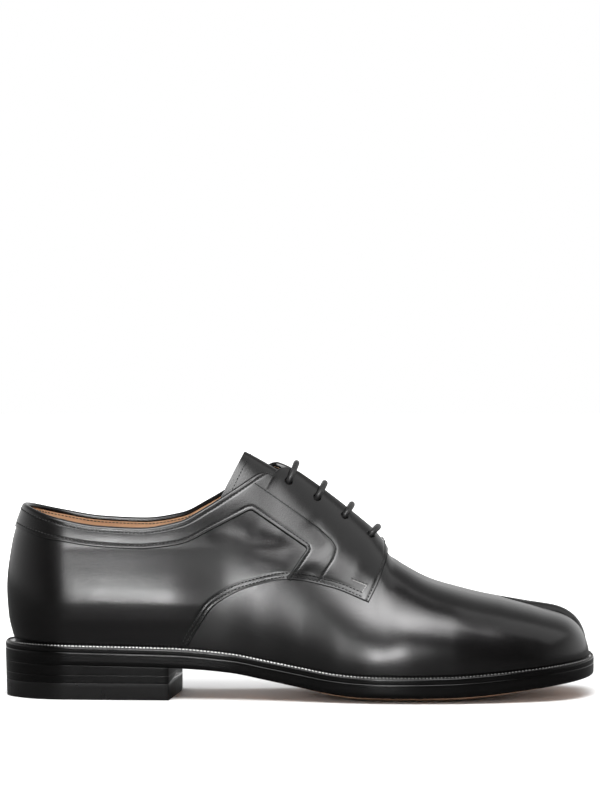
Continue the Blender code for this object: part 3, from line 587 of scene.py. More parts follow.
def board_points(side, stations, rows, front=None):
    """One half of a board inside the welt: rows from the middle of its underside round its edge to the middle
    of its top. Where front is given the board stops there, bowed forward at the middle line."""
    inset, drawn, rise = rows.T
    x = along(stations[:, None], inset)
    if front is not None:
        x = np.minimum(x, inset + stations[:, None] * (front + SOCK_BOW * (1 - drawn**2) - inset))
    y = middle(x) + drawn * (breadth(x, side, inset) - middle(x))
    points = np.stack([x, y, welt_base(x) + rise], axis=-1)
    return points if front is not None else notched(points, SLOT_START, SLOT_BACK, SLOT_MOUTH)


def make_tan_look(name, pale, deep, grain_scale):
    """Vegetable tanned lining leather: warm tan, clouded, with fine pores."""
    look, tree, shader = new_look(name)
    grain = place_group(tree, LEATHER_GRAIN, Grain_Scale=grain_scale, Mottle_Scale=45.0)
    tree.links.new(mix_colours(tree, spread(tree, grain["Mottle"], 0.0, 1.0), pale, deep),
                   shader["Base Color"])
    tree.links.new(spread(tree, grain["Grain"], 0.62, 0.48, 0.1, 0.6), shader["Roughness"])
    add_bump(tree, shader, grain["Grain"], strength=0.3, distance=0.0002)
    return look


LINING_LOOK = make_tan_look(
    "tan_lining", pale=(0.56, 0.345, 0.205, 1), deep=(0.43, 0.245, 0.135, 1), grain_scale=1100.0)
SOCK_LOOK = make_tan_look(
    "tan_sock", pale=(0.47, 0.26, 0.13, 1), deep=(0.36, 0.19, 0.09, 1), grain_scale=1000.0)
points, faces = join_halves([board_points(side, stations, INSOLE_ROWS) for side in (LATERAL, MEDIAL)])
insole = make_piece("insole_board", points, faces, [LINING_LOOK])
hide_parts("insole")
heel_stations = SOCK_HEEL_SHARE * (1 - np.cos(np.linspace(0, np.pi / 2, 31)))
sock_stations = np.concatenate([heel_stations, np.linspace(SOCK_HEEL_SHARE, 1, 40)[1:]])
sock_halves = [board_points(side, sock_stations, SOCK_ROWS, SOCK_FRONT) for side in (LATERAL, MEDIAL)]
points, faces = join_halves(sock_halves)
rows, columns = sock_halves[0].shape[:2]
sock_end = (rows - 1) * columns + np.arange(columns)
front_strip = np.concatenate([sock_end, rows * columns + sock_end[::-1]])
sock = make_piece("heel_sock", points, faces, [SOCK_LOOK], caps=[front_strip.tolist()])

# Upper: the black calf wall pulled over the last and down to the welt, plain over the vamp and parted into
# two lobes at the toe. Most of it behind the vamp lies under the quarters, the collar and the facings.
FEATHER_INSET, FEATHER_GAP = 0.0046, 0.0005
VAMP_WALL = 0.0008
TOE_RISE_LENGTH = 0.021
SPLIT_START, SPLIT_RUN, SPLIT_DEPTH = 0.252, 0.032, 0.0150
SPLIT_LIP, SPLIT_LIP_DEPTH, SPLIT_SLIT = 0.0075, 0.0060, 0.0012
LATERAL_LOBE_DROP = 0.0030
THROAT_END, THROAT_HALF_GAP = 0.190, 0.0036
FACING_ROUND, FACING_ROUND_END, FACING_ROUND_RUN = {LATERAL: 0.0090, MEDIAL: 0.0020}, 0.1500, 0.0140
FACING_ROUND_BACK, FACING_ROUND_BACK_RUN = 0.110, 0.012
EDGE_BLEND, THROAT_BACK = 0.03, 0.100
HEEL_BACK_REACH = 0.060
VAMP_START = 0.1911
SHOE_MIDDLE = np.array((0, 0, 0.04))
TUCK_IN, TUCK_DOWN = 0.0006, 0.0008
WALL_SOFT_ANGLE = 55
EDGE_COVER = 0.0014
EYELETS_ALONG = np.array((0.1437, 0.1579, 0.1716, 0.1848))
EYELET_FROM_CREST, EYELET_RADIUS, HOLE_WIDER = 0.0136, 0.0021, 1.15
RIM_ROUGHNESS, RIM_SPECULAR = 0.8, 0.04
CALF_BLACK, CALF_SOFT_BLACK = (0.0008, 0.0007, 0.0007, 1), (0.0018, 0.0016, 0.0016, 1)

SECTIONS = table(
    "along crest_z lean_lateral lean_medial wall_lateral wall_medial shoulder_lateral shoulder_medial", (
        (0.000, 0.1348, 0.0080, 0.0080, 0.27, 0.27, 0.82, 0.86),
        (0.045, 0.1358, 0.0085, 0.0080, 0.27, 0.27, 0.76, 0.82),
        (0.085, 0.1348, 0.0060, 0.0100, 0.26, 0.26, 0.70, 0.80),
        (0.115, 0.1303, 0.0040, 0.0110, 0.25, 0.27, 0.65, 0.76),
        (0.139, 0.1188, 0.0033, 0.0095, 0.254, 0.29, 0.598, 0.70),
        (0.156, 0.1075, 0.0029, 0.0075, 0.252, 0.30, 0.563, 0.66),
        (0.180, 0.0886, 0.0031, 0.0050, 0.300, 0.33, 0.505, 0.60),
        (0.1885, 0.0811, 0.0028, 0.0042, 0.343, 0.35, 0.530, 0.59),
        (0.1925, 0.0770, 0.0027, 0.0040, 0.375, 0.36, 0.562, 0.58),
        (0.1965, 0.0698, 0.0020, 0.0036, 0.425, 0.37, 0.680, 0.58),
        (0.205, 0.0638, 0.0020, 0.0032, 0.485, 0.39, 0.770, 0.58),
        (0.217, 0.0578, 0.0020, 0.0030, 0.550, 0.42, 0.845, 0.60),
        (0.230, 0.0539, 0.0016, 0.0030, 0.585, 0.45, 0.865, 0.62),
        (0.243, 0.0506, 0.0016, 0.0030, 0.575, 0.48, 0.865, 0.64),
        (0.266, 0.0464, 0.0014, 0.0025, 0.530, 0.52, 0.810, 0.68),
        (0.300, 0.0413, 0.0015, 0.0020, 0.500, 0.55, 0.720, 0.70)))
HEEL_BACK = table("height along", (
    (0.0273, 0.0060), (0.0408, 0.0028), (0.0548, 0.0019), (0.0768, 0.0045), (0.0988, 0.0112),
    (0.1328, 0.0230)))
TOPLINE = table("along lateral medial", (
    (0.0046, 0.0973, 0.0973), (0.025, 0.0913, 0.0930), (0.048, 0.0872, 0.0895), (0.070, 0.0862, 0.0886),
    (0.089, 0.0893, 0.0914), (0.103, 0.0966, 0.0984), (0.116, 0.1048, 0.1062), (0.128, 0.1126, 0.1137),
    (0.141, 0.1194, 0.1201)))


def feather(x):
    """Height of the upper's lower edge, just clear of the welt."""
    return welt_base(x) + WELT_THICKNESS + FEATHER_GAP


def column(x, name):
    """One column of the last's sections at x."""
    return smooth(x, SECTIONS["along"], SECTIONS[name])


def nose(x):
    """Share of its height that the toe keeps as it rounds down to its tip."""
    tip = SOLE_LENGTH - TOE_INSET_SHARE * FEATHER_INSET
    return rounding((x - tip + TOE_RISE_LENGTH) / TOE_RISE_LENGTH, TOE_SHAPE)


def crest(x):
    """(y, z) of the last's top line, which rounds down to the feather edge at the toe."""
    low = feather(x)
    return middle(x), low + (column(x, "crest_z") - low) * nose(x)


def section(x, side, share):
    """(y, z) on one wall of the last: a cubic arch from the feather edge, share 0, to the crest, share 1."""
    foot_y, foot_z = breadth(x, side, FEATHER_INSET), feather(x)
    crest_y, crest_z = crest(x)
    name = SIDE_NAMES[side]
    half = np.abs(foot_y - crest_y)
    lean_y = foot_y + side * column(x, "lean_" + name) * half / (half + column(x, "lean_" + name))
    lean_z = foot_z + column(x, "wall_" + name) * (crest_z - foot_z)
    shoulder_y = crest_y + column(x, "shoulder_" + name) * (foot_y - crest_y)
    b0, b1 = (1 - share) ** 3, 3 * share * (1 - share) ** 2
    b2, b3 = 3 * share**2 * (1 - share), share**3
    y = b0 * foot_y + b1 * lean_y + b2 * shoulder_y + b3 * crest_y
    return y, b0 * foot_z + b1 * lean_z + (b2 + b3) * crest_z


def split(x, y, side, share):
    """Depth of the toe's split: round lips, and between them a narrow slit where it is deeper than the lips.
    On the outer side the whole lobe first drops a little, and the split takes up the rest."""
    grown = eased((x - SPLIT_START) / SPLIT_RUN)
    drop = LATERAL_LOBE_DROP * grown * nose(x) * (side == LATERAL)
    depth = SPLIT_DEPTH * grown - drop
    off = np.abs(y - middle(x))
    lip = 1 - np.sqrt(1 - np.clip(1 - off / SPLIT_LIP, 0, 1) ** 2)
    slit = np.clip(1 - off / SPLIT_SLIT, 0, 1)
    cut_in = np.minimum(depth, SPLIT_LIP_DEPTH) * lip + np.maximum(depth - SPLIT_LIP_DEPTH, 0) * slit
    return drop * eased(share) + cut_in


def last(x, side, share):
    """Points of the last's face: the section, leant to the heel's back profile and pushed in at the split,
    where the outer lobe also sits a little lower than the big toe's."""
    x, share = np.broadcast_arrays(np.asarray(x, float), np.asarray(share, float))
    y, z = section(x, side, share)
    reach = np.clip(1 - (x - FEATHER_INSET) / HEEL_BACK_REACH, 0, 1) ** 2
    back = smooth(z, HEEL_BACK["height"], HEEL_BACK["along"]) - FEATHER_INSET
    step = 1e-5
    slope = (crest(x)[1] - crest(x - step)[1]) / step
    inward = split(x, y, side, share) / np.hypot(1, slope)
    return np.stack([x + back * reach + inward * slope, y, z - inward], axis=-1)


def outward(x, side, share):
    """Unit normals of the last's face, from steps along the shoe and up the wall."""
    step_x, step_share = 2e-4, 1e-3
    first, final = np.maximum(x - step_x, FEATHER_INSET), x + step_x
    lower, upper = np.maximum(share - step_share, 0), np.minimum(share + step_share, 1)
    run = last(final, side, share) - last(first, side, share)
    rise = last(x, side, upper) - last(x, side, lower)
    normal = -side * np.cross(run, rise)
    return normal / np.linalg.norm(normal, axis=-1, keepdims=True)


def share_at_height(x, side, height):
    """Share up the wall where each section reaches a height, read off 401 steps up that section."""
    shares = np.linspace(0, 1, 401)
    x, height = np.broadcast_arrays(np.atleast_1d(x), height)
    walls = section(x[:, None], side, shares[None])[1]
    return np.array([np.interp(z, wall, shares) for z, wall in zip(height, walls)])


def share_off_crest(x, side, distance):
    """Share up the wall that lies this far to the side of the crest, read off 401 steps up that section."""
    shares = np.linspace(0.5, 1, 401)
    x, distance = np.broadcast_arrays(np.atleast_1d(x), distance)
    off = np.abs(section(x[:, None], side, shares[None])[0] - crest(x)[0][:, None])
    return np.array([np.interp(-d, -row, shares) for d, row in zip(distance, off)])


def top_share(x, side, below=0.0):
    """Share up the wall of the open edge, or of a line this far below it: the collar's edge, or the throat
    where that comes first, rounded where the two meet."""
    height = smooth(x, TOPLINE["along"], TOPLINE[SIDE_NAMES[side]]) - below
    rounded = FACING_ROUND[side] * np.clip((FACING_ROUND_END - x) / FACING_ROUND_RUN, 0, 1) ** 2
    rounded = rounded * eased((x - FACING_ROUND_BACK) / FACING_ROUND_BACK_RUN)
    collar = share_at_height(x, side, height)
    throat = np.where(x > THROAT_BACK, share_off_crest(x, side, THROAT_HALF_GAP + rounded + below), 1.0)
    blend = np.clip(0.5 + 0.5 * (throat - collar) / EDGE_BLEND, 0, 1)
    return throat + blend * (collar - throat) - EDGE_BLEND * blend * (1 - blend)


def wall_shares(x, side, below):
    """Shares up one wall for a grid of the upper: lines up to the lip, which runs beside the throat and the
    split, and more up to a line below the open edge, or on over the lip to the slit and the crest."""
    edge = top_share(x, side, below)
    lip = np.minimum(share_off_crest(x, side, SPLIT_LIP), 0.9 * edge)
    to_lip = lip[:, None] * np.linspace(0, 1, 45)
    to_edge = lip[:, None] + (edge - lip)[:, None] * np.linspace(0, 1, 15)[1:]
    over = np.concatenate([SPLIT_LIP * (1 - np.sin(np.linspace(0, np.pi / 2, 11)[1:-1])) + SPLIT_SLIT,
                           SPLIT_SLIT * np.array((1.0, 0.66, 0.33, 0.12, 0.0))])
    to_crest = np.column_stack([share_off_crest(x, side, min(off, 0.98 * SPLIT_LIP)) for off in over])
    return np.hstack([to_lip, np.where(x[:, None] <= THROAT_END, to_edge, to_crest)])


VAMP_DIP = table("along depth", (
    (0.176, 0.0), (0.1850, 0.0048), (0.1895, 0.0060), (0.1925, 0.0052), (0.1945, 0.0029), (0.1965, 0.0007),
    (0.1990, 0.0)))
DIP_START, DIP_RUN = 0.84, 0.14


def dip(x, share):
    """How far the vamp lies below the last's face where it passes under the facings: deepest at the crest
    just behind their front edges, and nothing down the sides."""
    return smooth(x, VAMP_DIP["along"], VAMP_DIP["depth"]) * eased((share - DIP_START) / DIP_RUN)


def punched(points, faces, centres, radius):
    """Round holes in a grid: a face with a corner inside a hole goes, and the corners left round the hole are
    drawn in to its circle."""
    away = points[:, None] - centres[None]
    distance = np.linalg.norm(away, axis=-1)
    inside = (distance < radius).any(axis=1)
    gone = inside[faces].any(axis=1)
    rim = np.setdiff1d(np.unique(faces[gone]), np.flatnonzero(inside))
    nearest = distance[rim].argmin(axis=1)
    points = points.copy()
    points[rim] = centres[nearest] + away[rim, nearest] * (radius / distance[rim, nearest])[:, None]
    return points, faces[~gone]


def eyelet_centres(side, lift):
    """Centres of the four eyelets of one side on a surface this far off the last."""
    share = share_off_crest(EYELETS_ALONG, side, EYELET_FROM_CREST)
    lift = np.broadcast_to(lift, share.shape)[:, None]
    return last(EYELETS_ALONG, side, share) + lift * outward(EYELETS_ALONG, side, share)


def turn_outwards(piece):
    """Turns an open wall's faces away from the middle of the shoe, by the sum of area times outward lean."""
    count = len(piece.data.polygons)
    normal, centre, area = np.empty(count * 3), np.empty(count * 3), np.empty(count)
    piece.data.polygons.foreach_get("normal", normal)
    piece.data.polygons.foreach_get("center", centre)
    piece.data.polygons.foreach_get("area", area)
    lean = (normal.reshape(-1, 3) * (centre.reshape(-1, 3) - SHOE_MIDDLE)).sum(axis=1)
    if (area * lean).sum() < 0:
        piece.data.flip_normals()


def thicken(piece, thickness, soft=0.0):
    """A wall of this thickness built inwards from the face, its raw edge in the second look if there is one,
    and its corners softened when a width is given."""
    wall = piece.modifiers.new("wall", "SOLIDIFY")
    wall.thickness = thickness
    wall.offset = -1
    wall.material_offset_rim = len(piece.data.materials) - 1
    if soft:
        soften(piece, soft, WALL_SOFT_ANGLE)


def make_calf_look(name, grain_scale, grain_strength, roughness_low, roughness_high):
    """Black calf: near black with a slow cloudy change, fine pebbled grain, and a waxed satin gloss that
    varies a little with the clouds. Where the rim mark is 1 the leather is a cut edge in matt ink."""
    look, tree, shader = new_look(name)
    grain = place_group(tree, LEATHER_GRAIN, Grain_Scale=grain_scale, Mottle_Scale=38.0)
    rim = read_mark(tree, "rim")
    cloud = spread(tree, grain["Mottle"], 0.0, 1.0)
    tree.links.new(mix_colours(tree, cloud, CALF_BLACK, CALF_SOFT_BLACK), shader["Base Color"])
    gloss = spread(tree, grain["Mottle"], roughness_low, roughness_high)
    matt = add_node(tree, "ShaderNodeMix", {"Factor": rim, 2: gloss, 3: RIM_ROUGHNESS})
    tree.links.new(matt.outputs[0], shader["Roughness"])
    tree.links.new(spread(tree, rim, 0.5, RIM_SPECULAR, 0.0, 1.0), shader["Specular IOR Level"])
    add_bump(tree, shader, grain["Grain"], grain_strength, distance=0.0003)
    return look


def upper_points(side, x, lift, below):
    """One half of the upper at a height off the last: its foot tucked in under the feather edge, then up the
    wall to below the open edge or to the crest."""
    share = wall_shares(x, side, below)
    sunk = (lift - dip(x[:, None], share))[..., None]
    wall = last(x[:, None], side, share) + sunk * outward(x[:, None], side, share)
    tuck = np.array((0.0, -side * TUCK_IN, -TUCK_DOWN))
    return np.concatenate([wall[:, :1] + tuck, wall], axis=1)


upper_x = np.union1d(along(end_shares(34, 150, 64), FEATHER_INSET), (THROAT_END, VAMP_START))
CALF_LOOK = make_calf_look(
    "black_calf", grain_scale=1500.0, grain_strength=0.13, roughness_low=0.22, roughness_high=0.27)
RAW_EDGE_LOOK = make_calf_look(
    "cut_calf_edge", grain_scale=1800.0, grain_strength=0.3, roughness_low=0.7, roughness_high=0.85)
points, faces = join_halves([upper_points(side, upper_x, 0.0, EDGE_COVER) for side in (LATERAL, MEDIAL)])
upper_holes = np.concatenate([eyelet_centres(side, 0.0) for side in (LATERAL, MEDIAL)])
points, faces = punched(points, faces, upper_holes, HOLE_WIDER * EYELET_RADIUS)
vamp = make_piece("upper_vamp", points, faces, [CALF_LOOK])
turn_outwards(vamp)
thicken(vamp, VAMP_WALL)
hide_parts("upper")

# Lining: thin tan leather glued inside the upper from the heel to the ball, up to the rolled edge of the
# collar and the throat.
LINING_GAP, LINING_WALL, LINING_FRONT = 0.00005, 0.0005, 0.240
LINING_FACE, LINING_THREAD = -(VAMP_WALL + LINING_GAP + LINING_WALL), 0.00026
lining_x = upper_x[upper_x < LINING_FRONT]
lining_lift = -(VAMP_WALL + LINING_GAP)
points, faces = join_halves([
    upper_points(side, lining_x, lining_lift, EDGE_COVER)[:, 2:] for side in (LATERAL, MEDIAL)])
lining_holes = np.concatenate([eyelet_centres(side, lining_lift) for side in (LATERAL, MEDIAL)])
points, faces = punched(points, faces, lining_holes, HOLE_WIDER * EYELET_RADIUS)
lining = make_piece("tan_lining", points, faces, [LINING_LOOK])
turn_outwards(lining)
thicken(lining, LINING_WALL)

# Tongue: a leather tongue under the throat, sewn to the vamp in front, its upper edge slanting at the sides
# and stitched to a narrow band.
TONGUE_INWARDS, TONGUE_THICKNESS = 0.0040, 0.0020
TONGUE_TOP, TONGUE_FRONT, TONGUE_LEAN, TONGUE_SPAN = 0.1236, 0.1960, 0.47, 0.40
TONGUE_BAND, TONGUE_SOFT = 0.0030, 0.0003
BAND_PITCH, BAND_STITCH, BAND_THREAD = 0.0020, 0.0016, 0.00026


def tongue_points(across, run):
    """Points of the tongue's outer face: across from -1 to 1 over the crest, run from 0 at its top edge to 1
    under the vamp, at a constant depth below the last's face. The top edge leans back as it comes down."""
    sides = []
    for side, offset in ((LATERAL, across[across < 0]), (MEDIAL, across[across >= 0])):
        share = 1 - TONGUE_SPAN * np.abs(offset)[None]
        top = TONGUE_TOP - TONGUE_LEAN * (crest(TONGUE_TOP)[1] - section(TONGUE_TOP, side, share)[1])
        x = top + run[:, None] * (TONGUE_FRONT - top)
        share = np.broadcast_to(share, x.shape)
        out = outward(x, side, share)
        deep = TONGUE_INWARDS + dip(x, share)
        sides.append(np.concatenate([last(x, side, share) - deep[..., None] * out, out], axis=-1))
    both = np.concatenate(sides, axis=1)
    return both[..., :3], both[..., 3:]


tongue_run = np.concatenate([[0, 0.003, 0.008], np.linspace(0.016, 1, 80)])
points, normals = tongue_points(np.linspace(-1, 1, 61), tongue_run)
tongue = make_piece("tongue_leather", points, grid_quads(*points.shape[:2]), [CALF_LOOK, RAW_EDGE_LOOK])
turn_outwards(tongue)
thicken(tongue, TONGUE_THICKNESS, TONGUE_SOFT)
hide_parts("tongue")
band_run = TONGUE_BAND / (TONGUE_FRONT - TONGUE_TOP)
band_path, band_normal = tongue_points(np.linspace(-0.97, 0.97, 161), np.array((band_run,)))
seam_rows = [stitch_row(band_path[0], band_normal[0], BAND_PITCH, BAND_STITCH, BAND_THREAD)]

# Quarters: a calf panel on each side of the heel, under the collar band above and the facing in front, its
# lower edge cut in a long curve down to the sole's waist and sewn to the vamp with two rows.
QUARTER_OUT, QUARTER_WALL = 0.0012, 0.0011
QUARTER_EDGE = np.array((
    (0.0940, 0.0273), (0.0985, 0.0353), (0.1070, 0.0474), (0.1250, 0.0566), (0.1444, 0.0604),
    (0.1650, 0.0566), (0.1842, 0.0491)))
COLLAR_EDGE = np.array((
    (0.0046, 0.0853), (0.0280, 0.0794), (0.0480, 0.0764), (0.0690, 0.0754), (0.0890, 0.0775),
    (0.1070, 0.0856), (0.1250, 0.0951)))
QUARTER_HIDDEN_EDGE = np.array(((0.1000, 0.0850), (0.1262, 0.0988), (0.1565, 0.0764)))
QUARTER_END, QUARTER_ROW_END = 0.148, 0.1455
SEAT_SHARE, SEAT_RISE = 0.004, 0.006
QUARTER_UNDERLAP = 0.0032
HEEL_STEPS, BACK_SEAM_HALF, CALF_SOFT = 46, 0.00008, 0.0002
EDGE_ROWS = (0.0013, 0.0032)
SEAM_PITCH, SEAM_STITCH, SEAM_THREAD = 0.0019, 0.00175, 0.00034
SEAM_PRESS, SEAM_WIDTH = 0.00012, 0.00060
RIM_START, RIM_END = 0.0002, 0.0005
FOLDS = np.array((
    (0.1160, 0.0800, 0.1520, 0.0680, 0.00026, 0.0075), (0.1262, 0.0768, 0.1440, 0.0766, 0.00015, 0.0030),
    (0.1064, 0.0830, 0.1203, 0.0812, 0.00015, 0.0034), (0.1560, 0.0875, 0.1632, 0.0763, 0.00026, 0.0042),
    (0.1300, 0.0700, 0.1420, 0.0690, -0.00012, 0.0034), (0.1300, 0.0850, 0.1400, 0.0815, -0.00014, 0.0040)))
FOLD_FADE_REACH, FOLD_FADE_RUN = 0.35, 0.5
COUNTER_BULGE = 0.0028
COUNTER_BACK, COUNTER_BACK_RUN, COUNTER_FRONT, COUNTER_FRONT_RUN = 0.004, 0.034, 0.134, 0.050
COUNTER_RISE = table("height share", (
    (0.0270, 0.0), (0.0340, 0.35), (0.0410, 0.85), (0.0470, 1.0), (0.0530, 0.86), (0.0600, 0.58),
    (0.0680, 0.26), (0.0760, 0.0)))


def heel_crowded(first, final, heel_steps, steps):
    """x from the heel's back to a station: close together round the heel, even after it."""
    heel = first + HEEL_ROUND * (1 - np.cos(np.linspace(0, np.pi / 2, heel_steps + 1)))
    return np.concatenate([heel, np.linspace(heel[-1], final, steps + 1)[1:]])


def even_line(corners, count):
    """Points at even distances along a line through (x, height) corners."""
    corners = np.asarray(corners, float)
    run = np.concatenate([[0], np.cumsum(np.linalg.norm(np.diff(corners, axis=0), axis=1))])
    at = np.linspace(0, run[-1], count)
    return np.stack([np.interp(at, run, corners[:, 0]), np.interp(at, run, corners[:, 1])], axis=1)


def curve_through(knots, count):
    """Points at even distances along the monotone curve height(x) through the knots."""
    x = np.linspace(knots[0, 0], knots[-1, 0], 400)
    return even_line(np.stack([x, smooth(x, knots[:, 0], knots[:, 1])], axis=1), count)


def softened_line(line, reach):
    """A line of points at even distances with its corners rounded: each point is the mean of its neighbours
    within reach along the line, and the ends stay."""
    spacing = np.linalg.norm(line[1] - line[0])
    half = max(int(reach / spacing), 1)
    padded = np.concatenate([
        2 * line[:1] - line[half:0:-1], line, 2 * line[-1:] - line[-2:-half - 2:-1]])
    window = np.ones(2 * half + 1) / (2 * half + 1)
    return np.stack([np.convolve(padded[:, axis], window, "valid") for axis in range(2)], axis=1)


def beside(line, distance):
    """A line this far to the left of another in the side view, as one goes along it."""
    way = np.gradient(line, axis=0)
    way /= np.linalg.norm(way, axis=1, keepdims=True)
    return line + distance * np.stack([-way[:, 1], way[:, 0]], axis=1)


def distance_to(line, x, z):
    """Distance in the side view from each (x, z) to the nearest of a line's points."""
    place = np.stack([x, z], axis=-1).reshape(-1, 1, 2)
    chunks = np.array_split(place, max(len(place) // 4000, 1))
    near = [np.linalg.norm(part - line[None], axis=-1).min(axis=1) for part in chunks]
    return np.concatenate(near).reshape(np.shape(x))


def rim_mark(x, z, line):
    """Mark of the inked cut edge: 1 within a hair of the edge line, falling to 0 just inside it."""
    return np.clip((RIM_END - distance_to(line, x, z)) / (RIM_END - RIM_START), 0, 1)


def pressed(x, z, lines):
    """How far the leather is drawn in along rows of stitches: a bell across each row."""
    near = np.min([distance_to(line, x, z) for line in lines], axis=0)
    return SEAM_PRESS * np.exp(-((near / SEAM_WIDTH) ** 2))


def folds(x, z):
    """Depth of the soft folds down the quarter's front and the facing: for each one a bell across a straight
    line, fading out at both ends. A ridge has a depth below zero."""
    depth = np.zeros(np.shape(x))
    for first_x, first_z, last_x, last_z, deep, wide in FOLDS:
        reach = np.hypot(last_x - first_x, last_z - first_z)
        way_x, way_z = (last_x - first_x) / reach, (last_z - first_z) / reach
        run = ((x - first_x) * way_x + (z - first_z) * way_z) / reach
        off = (z - first_z) * way_x - (x - first_x) * way_z
        fade_in = eased((run + FOLD_FADE_REACH) / FOLD_FADE_RUN)
        fade_out = eased((1 + FOLD_FADE_REACH - run) / FOLD_FADE_RUN)
        depth += deep * fade_in * fade_out * np.exp(-((off / wide) ** 2))
    return depth


def counter(x, z):
    """How far the stiff counter inside pushes the quarter out: a hump up the wall that is fullest below the
    middle, growing from the back of the heel and gone in front of the waist."""
    growth = eased((x - COUNTER_BACK) / COUNTER_BACK_RUN)
    length = growth * eased((COUNTER_FRONT - x) / COUNTER_FRONT_RUN)
    return COUNTER_BULGE * length * smooth(z, COUNTER_RISE["height"], COUNTER_RISE["share"])


def on_wall(line, side, lift):
    """Points this far off the last along a side view line, with the way out of the leather at each."""
    share = share_at_height(line[:, 0], side, line[:, 1])
    out = outward(line[:, 0], side, share)
    return last(line[:, 0], side, share) + np.broadcast_to(lift, share.shape)[:, None] * out, out


PANEL_STEPS = np.concatenate([[0, 0.006, 0.016], np.linspace(0.03, 1, 52)])


def quarter_shape(side):
    """The quarter as a ruled sheet in (x, share up the wall), from its lower to its hidden upper edge."""
    seat_x = heel_crowded(FEATHER_INSET, QUARTER_EDGE[0, 0], HEEL_STEPS, 60)
    first_share = share_at_height(QUARTER_EDGE[:1, 0], side, QUARTER_EDGE[0, 1])[0]
    rise = eased((seat_x - QUARTER_EDGE[0, 0] + SEAT_RISE) / SEAT_RISE)
    seat_share = SEAT_SHARE + (first_share - SEAT_SHARE) * rise
    edge = curve_through(QUARTER_EDGE, 400)
    edge = even_line(edge[edge[:, 0] <= QUARTER_END], 121)[1:]
    low_x = np.concatenate([seat_x, edge[:, 0]])
    low_share = np.concatenate([seat_share, share_at_height(edge[:, 0], side, edge[:, 1])])
    pace = (seat_x - FEATHER_INSET) / (QUARTER_EDGE[0, 0] - FEATHER_INSET)
    band_x = seat_x + (QUARTER_HIDDEN_EDGE[0, 0] - QUARTER_EDGE[0, 0]) * pace**2
    band_z = smooth(band_x, COLLAR_EDGE[:, 0], COLLAR_EDGE[:, 1]) + QUARTER_UNDERLAP
    front = even_line(np.concatenate([[(band_x[-1], band_z[-1])], QUARTER_HIDDEN_EDGE[1:]]), 121)[1:]
    top_x = np.concatenate([band_x, front[:, 0]])
    top_z = np.concatenate([band_z, front[:, 1]])
    top = share_at_height(top_x, side, top_z)
    x = low_x[:, None] + (top_x - low_x)[:, None] * PANEL_STEPS
    return x, low_share[:, None] + (top - low_share)[:, None] * PANEL_STEPS


def quarter_points(side, rows):
    """The quarter's outer face: lifted off the last by its own leather and the counter, pressed along its
    stitches and folded, and held just beside the middle line at the back seam."""
    x, share = quarter_shape(side)
    height = section(x, side, share)[1]
    lift = QUARTER_OUT + counter(x, height) - pressed(x, height, rows) - folds(x, height)
    points = last(x, side, share) + lift[..., None] * outward(x, side, share)
    points[0, :, 1] = middle(FEATHER_INSET) + side * BACK_SEAM_HALF
    return points


quarter_curve = curve_through(QUARTER_EDGE, 700)
quarter_rows = [beside(quarter_curve, offset) for offset in EDGE_ROWS]
for side, name in SIDE_NAMES.items():
    points = quarter_points(side, quarter_rows)
    rim = rim_mark(points[..., 0], points[..., 2], quarter_curve)
    quarter = make_piece("quarter_calf_" + name, points, grid_quads(*points.shape[:2]),
                         [CALF_LOOK, RAW_EDGE_LOOK], {"rim": rim})
    turn_outwards(quarter)
    thicken(quarter, QUARTER_WALL, CALF_SOFT)
    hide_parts("quarter_" + name)
    for row in quarter_rows:
        row = row[row[:, 0] < QUARTER_ROW_END]
        path, normal = on_wall(row, side, QUARTER_OUT + counter(*row.T) - SEAM_PRESS)
        seam_rows.append(stitch_row(path, normal, SEAM_PITCH, SEAM_STITCH, SEAM_THREAD))

# Collar and facings: one calf overlay on each side, a band round the collar that widens into the facing with
# its four punched eyelets. Its top edge is turned over the upper and the lining, and it is sewn down below.
COLLAR_OUT, COLLAR_TOP_OUT, THROAT_OUT, FACING_EDGE_OUT, COLLAR_WALL = 0.0019, 0.0018, 0.0022, 0.0010, 0.0009
ROLL_INSIDE, ROLL_LIP = -0.0014, 0.0005
COLLAR_PEAK = (0.1253, 0.0948)
FACING_CORNER, FACING_FOOT = (0.1536, 0.0754), (0.1430, 0.0603)
FACING_FRONT = np.array((
    (0.1842, 0.0491), (0.1888, 0.0578), (0.1928, 0.0683), (0.1938, 0.0733), (0.1938, 0.0778),
    (0.1926, 0.0813), (0.1900, 0.0846)))
FACING_SETTLE, FOOT_SETTLE, RAISE_START = 0.014, 0.010, 0.45
PEAK_RISE_START, PEAK_RISE_RUN = 0.110, 0.0153
THROAT_RISE_START, THROAT_RISE_RUN = 0.118, 0.022
CORNER_REACH, FRONT_REACH, STAY_REACH, TACK_REACH = 0.0016, 0.002, 0.0016, 0.0004
SEAM_INSET, TOP_ROW, FRONT_ROW = 0.0019, 0.0030, 0.0014
TOP_ROW_START, TOP_ROW_CUT, TOP_ROW_END = 0.0050, 0.1330, 0.1380
LOWER_ROW_START, LOWER_ROW_END, FRONT_ROW_SHORT = 0.1470, 0.1815, 24
STAY_ROW = np.array((
    (0.1250, 0.1088), (0.1453, 0.0948), (0.1591, 0.0851), (0.1662, 0.0783), (0.1679, 0.0746),
    (0.1666, 0.0700), (0.1590, 0.0590)))
TACK = np.array(((0.1761, 0.0598), (0.1831, 0.0571), (0.1809, 0.0539)))
TACK_BAR = np.array(((0.1752, 0.0607), (0.1838, 0.0577)))
TACK_PITCH, TACK_STITCH = 0.0012, 0.0014
COLLAR_STEPS = np.concatenate([[0, 0.006, 0.016], np.linspace(0.03, 1, 62)])
COLLAR_PARTS = (130, 90, 50, 104)
FOOT_NUMBER, ROUND_FROM = sum(COLLAR_PARTS[:3]), 90
TOP_STOPS = np.array((FEATHER_INSET, 0.131, 0.1775, 0.1862, FACING_FRONT[-1, 0]))


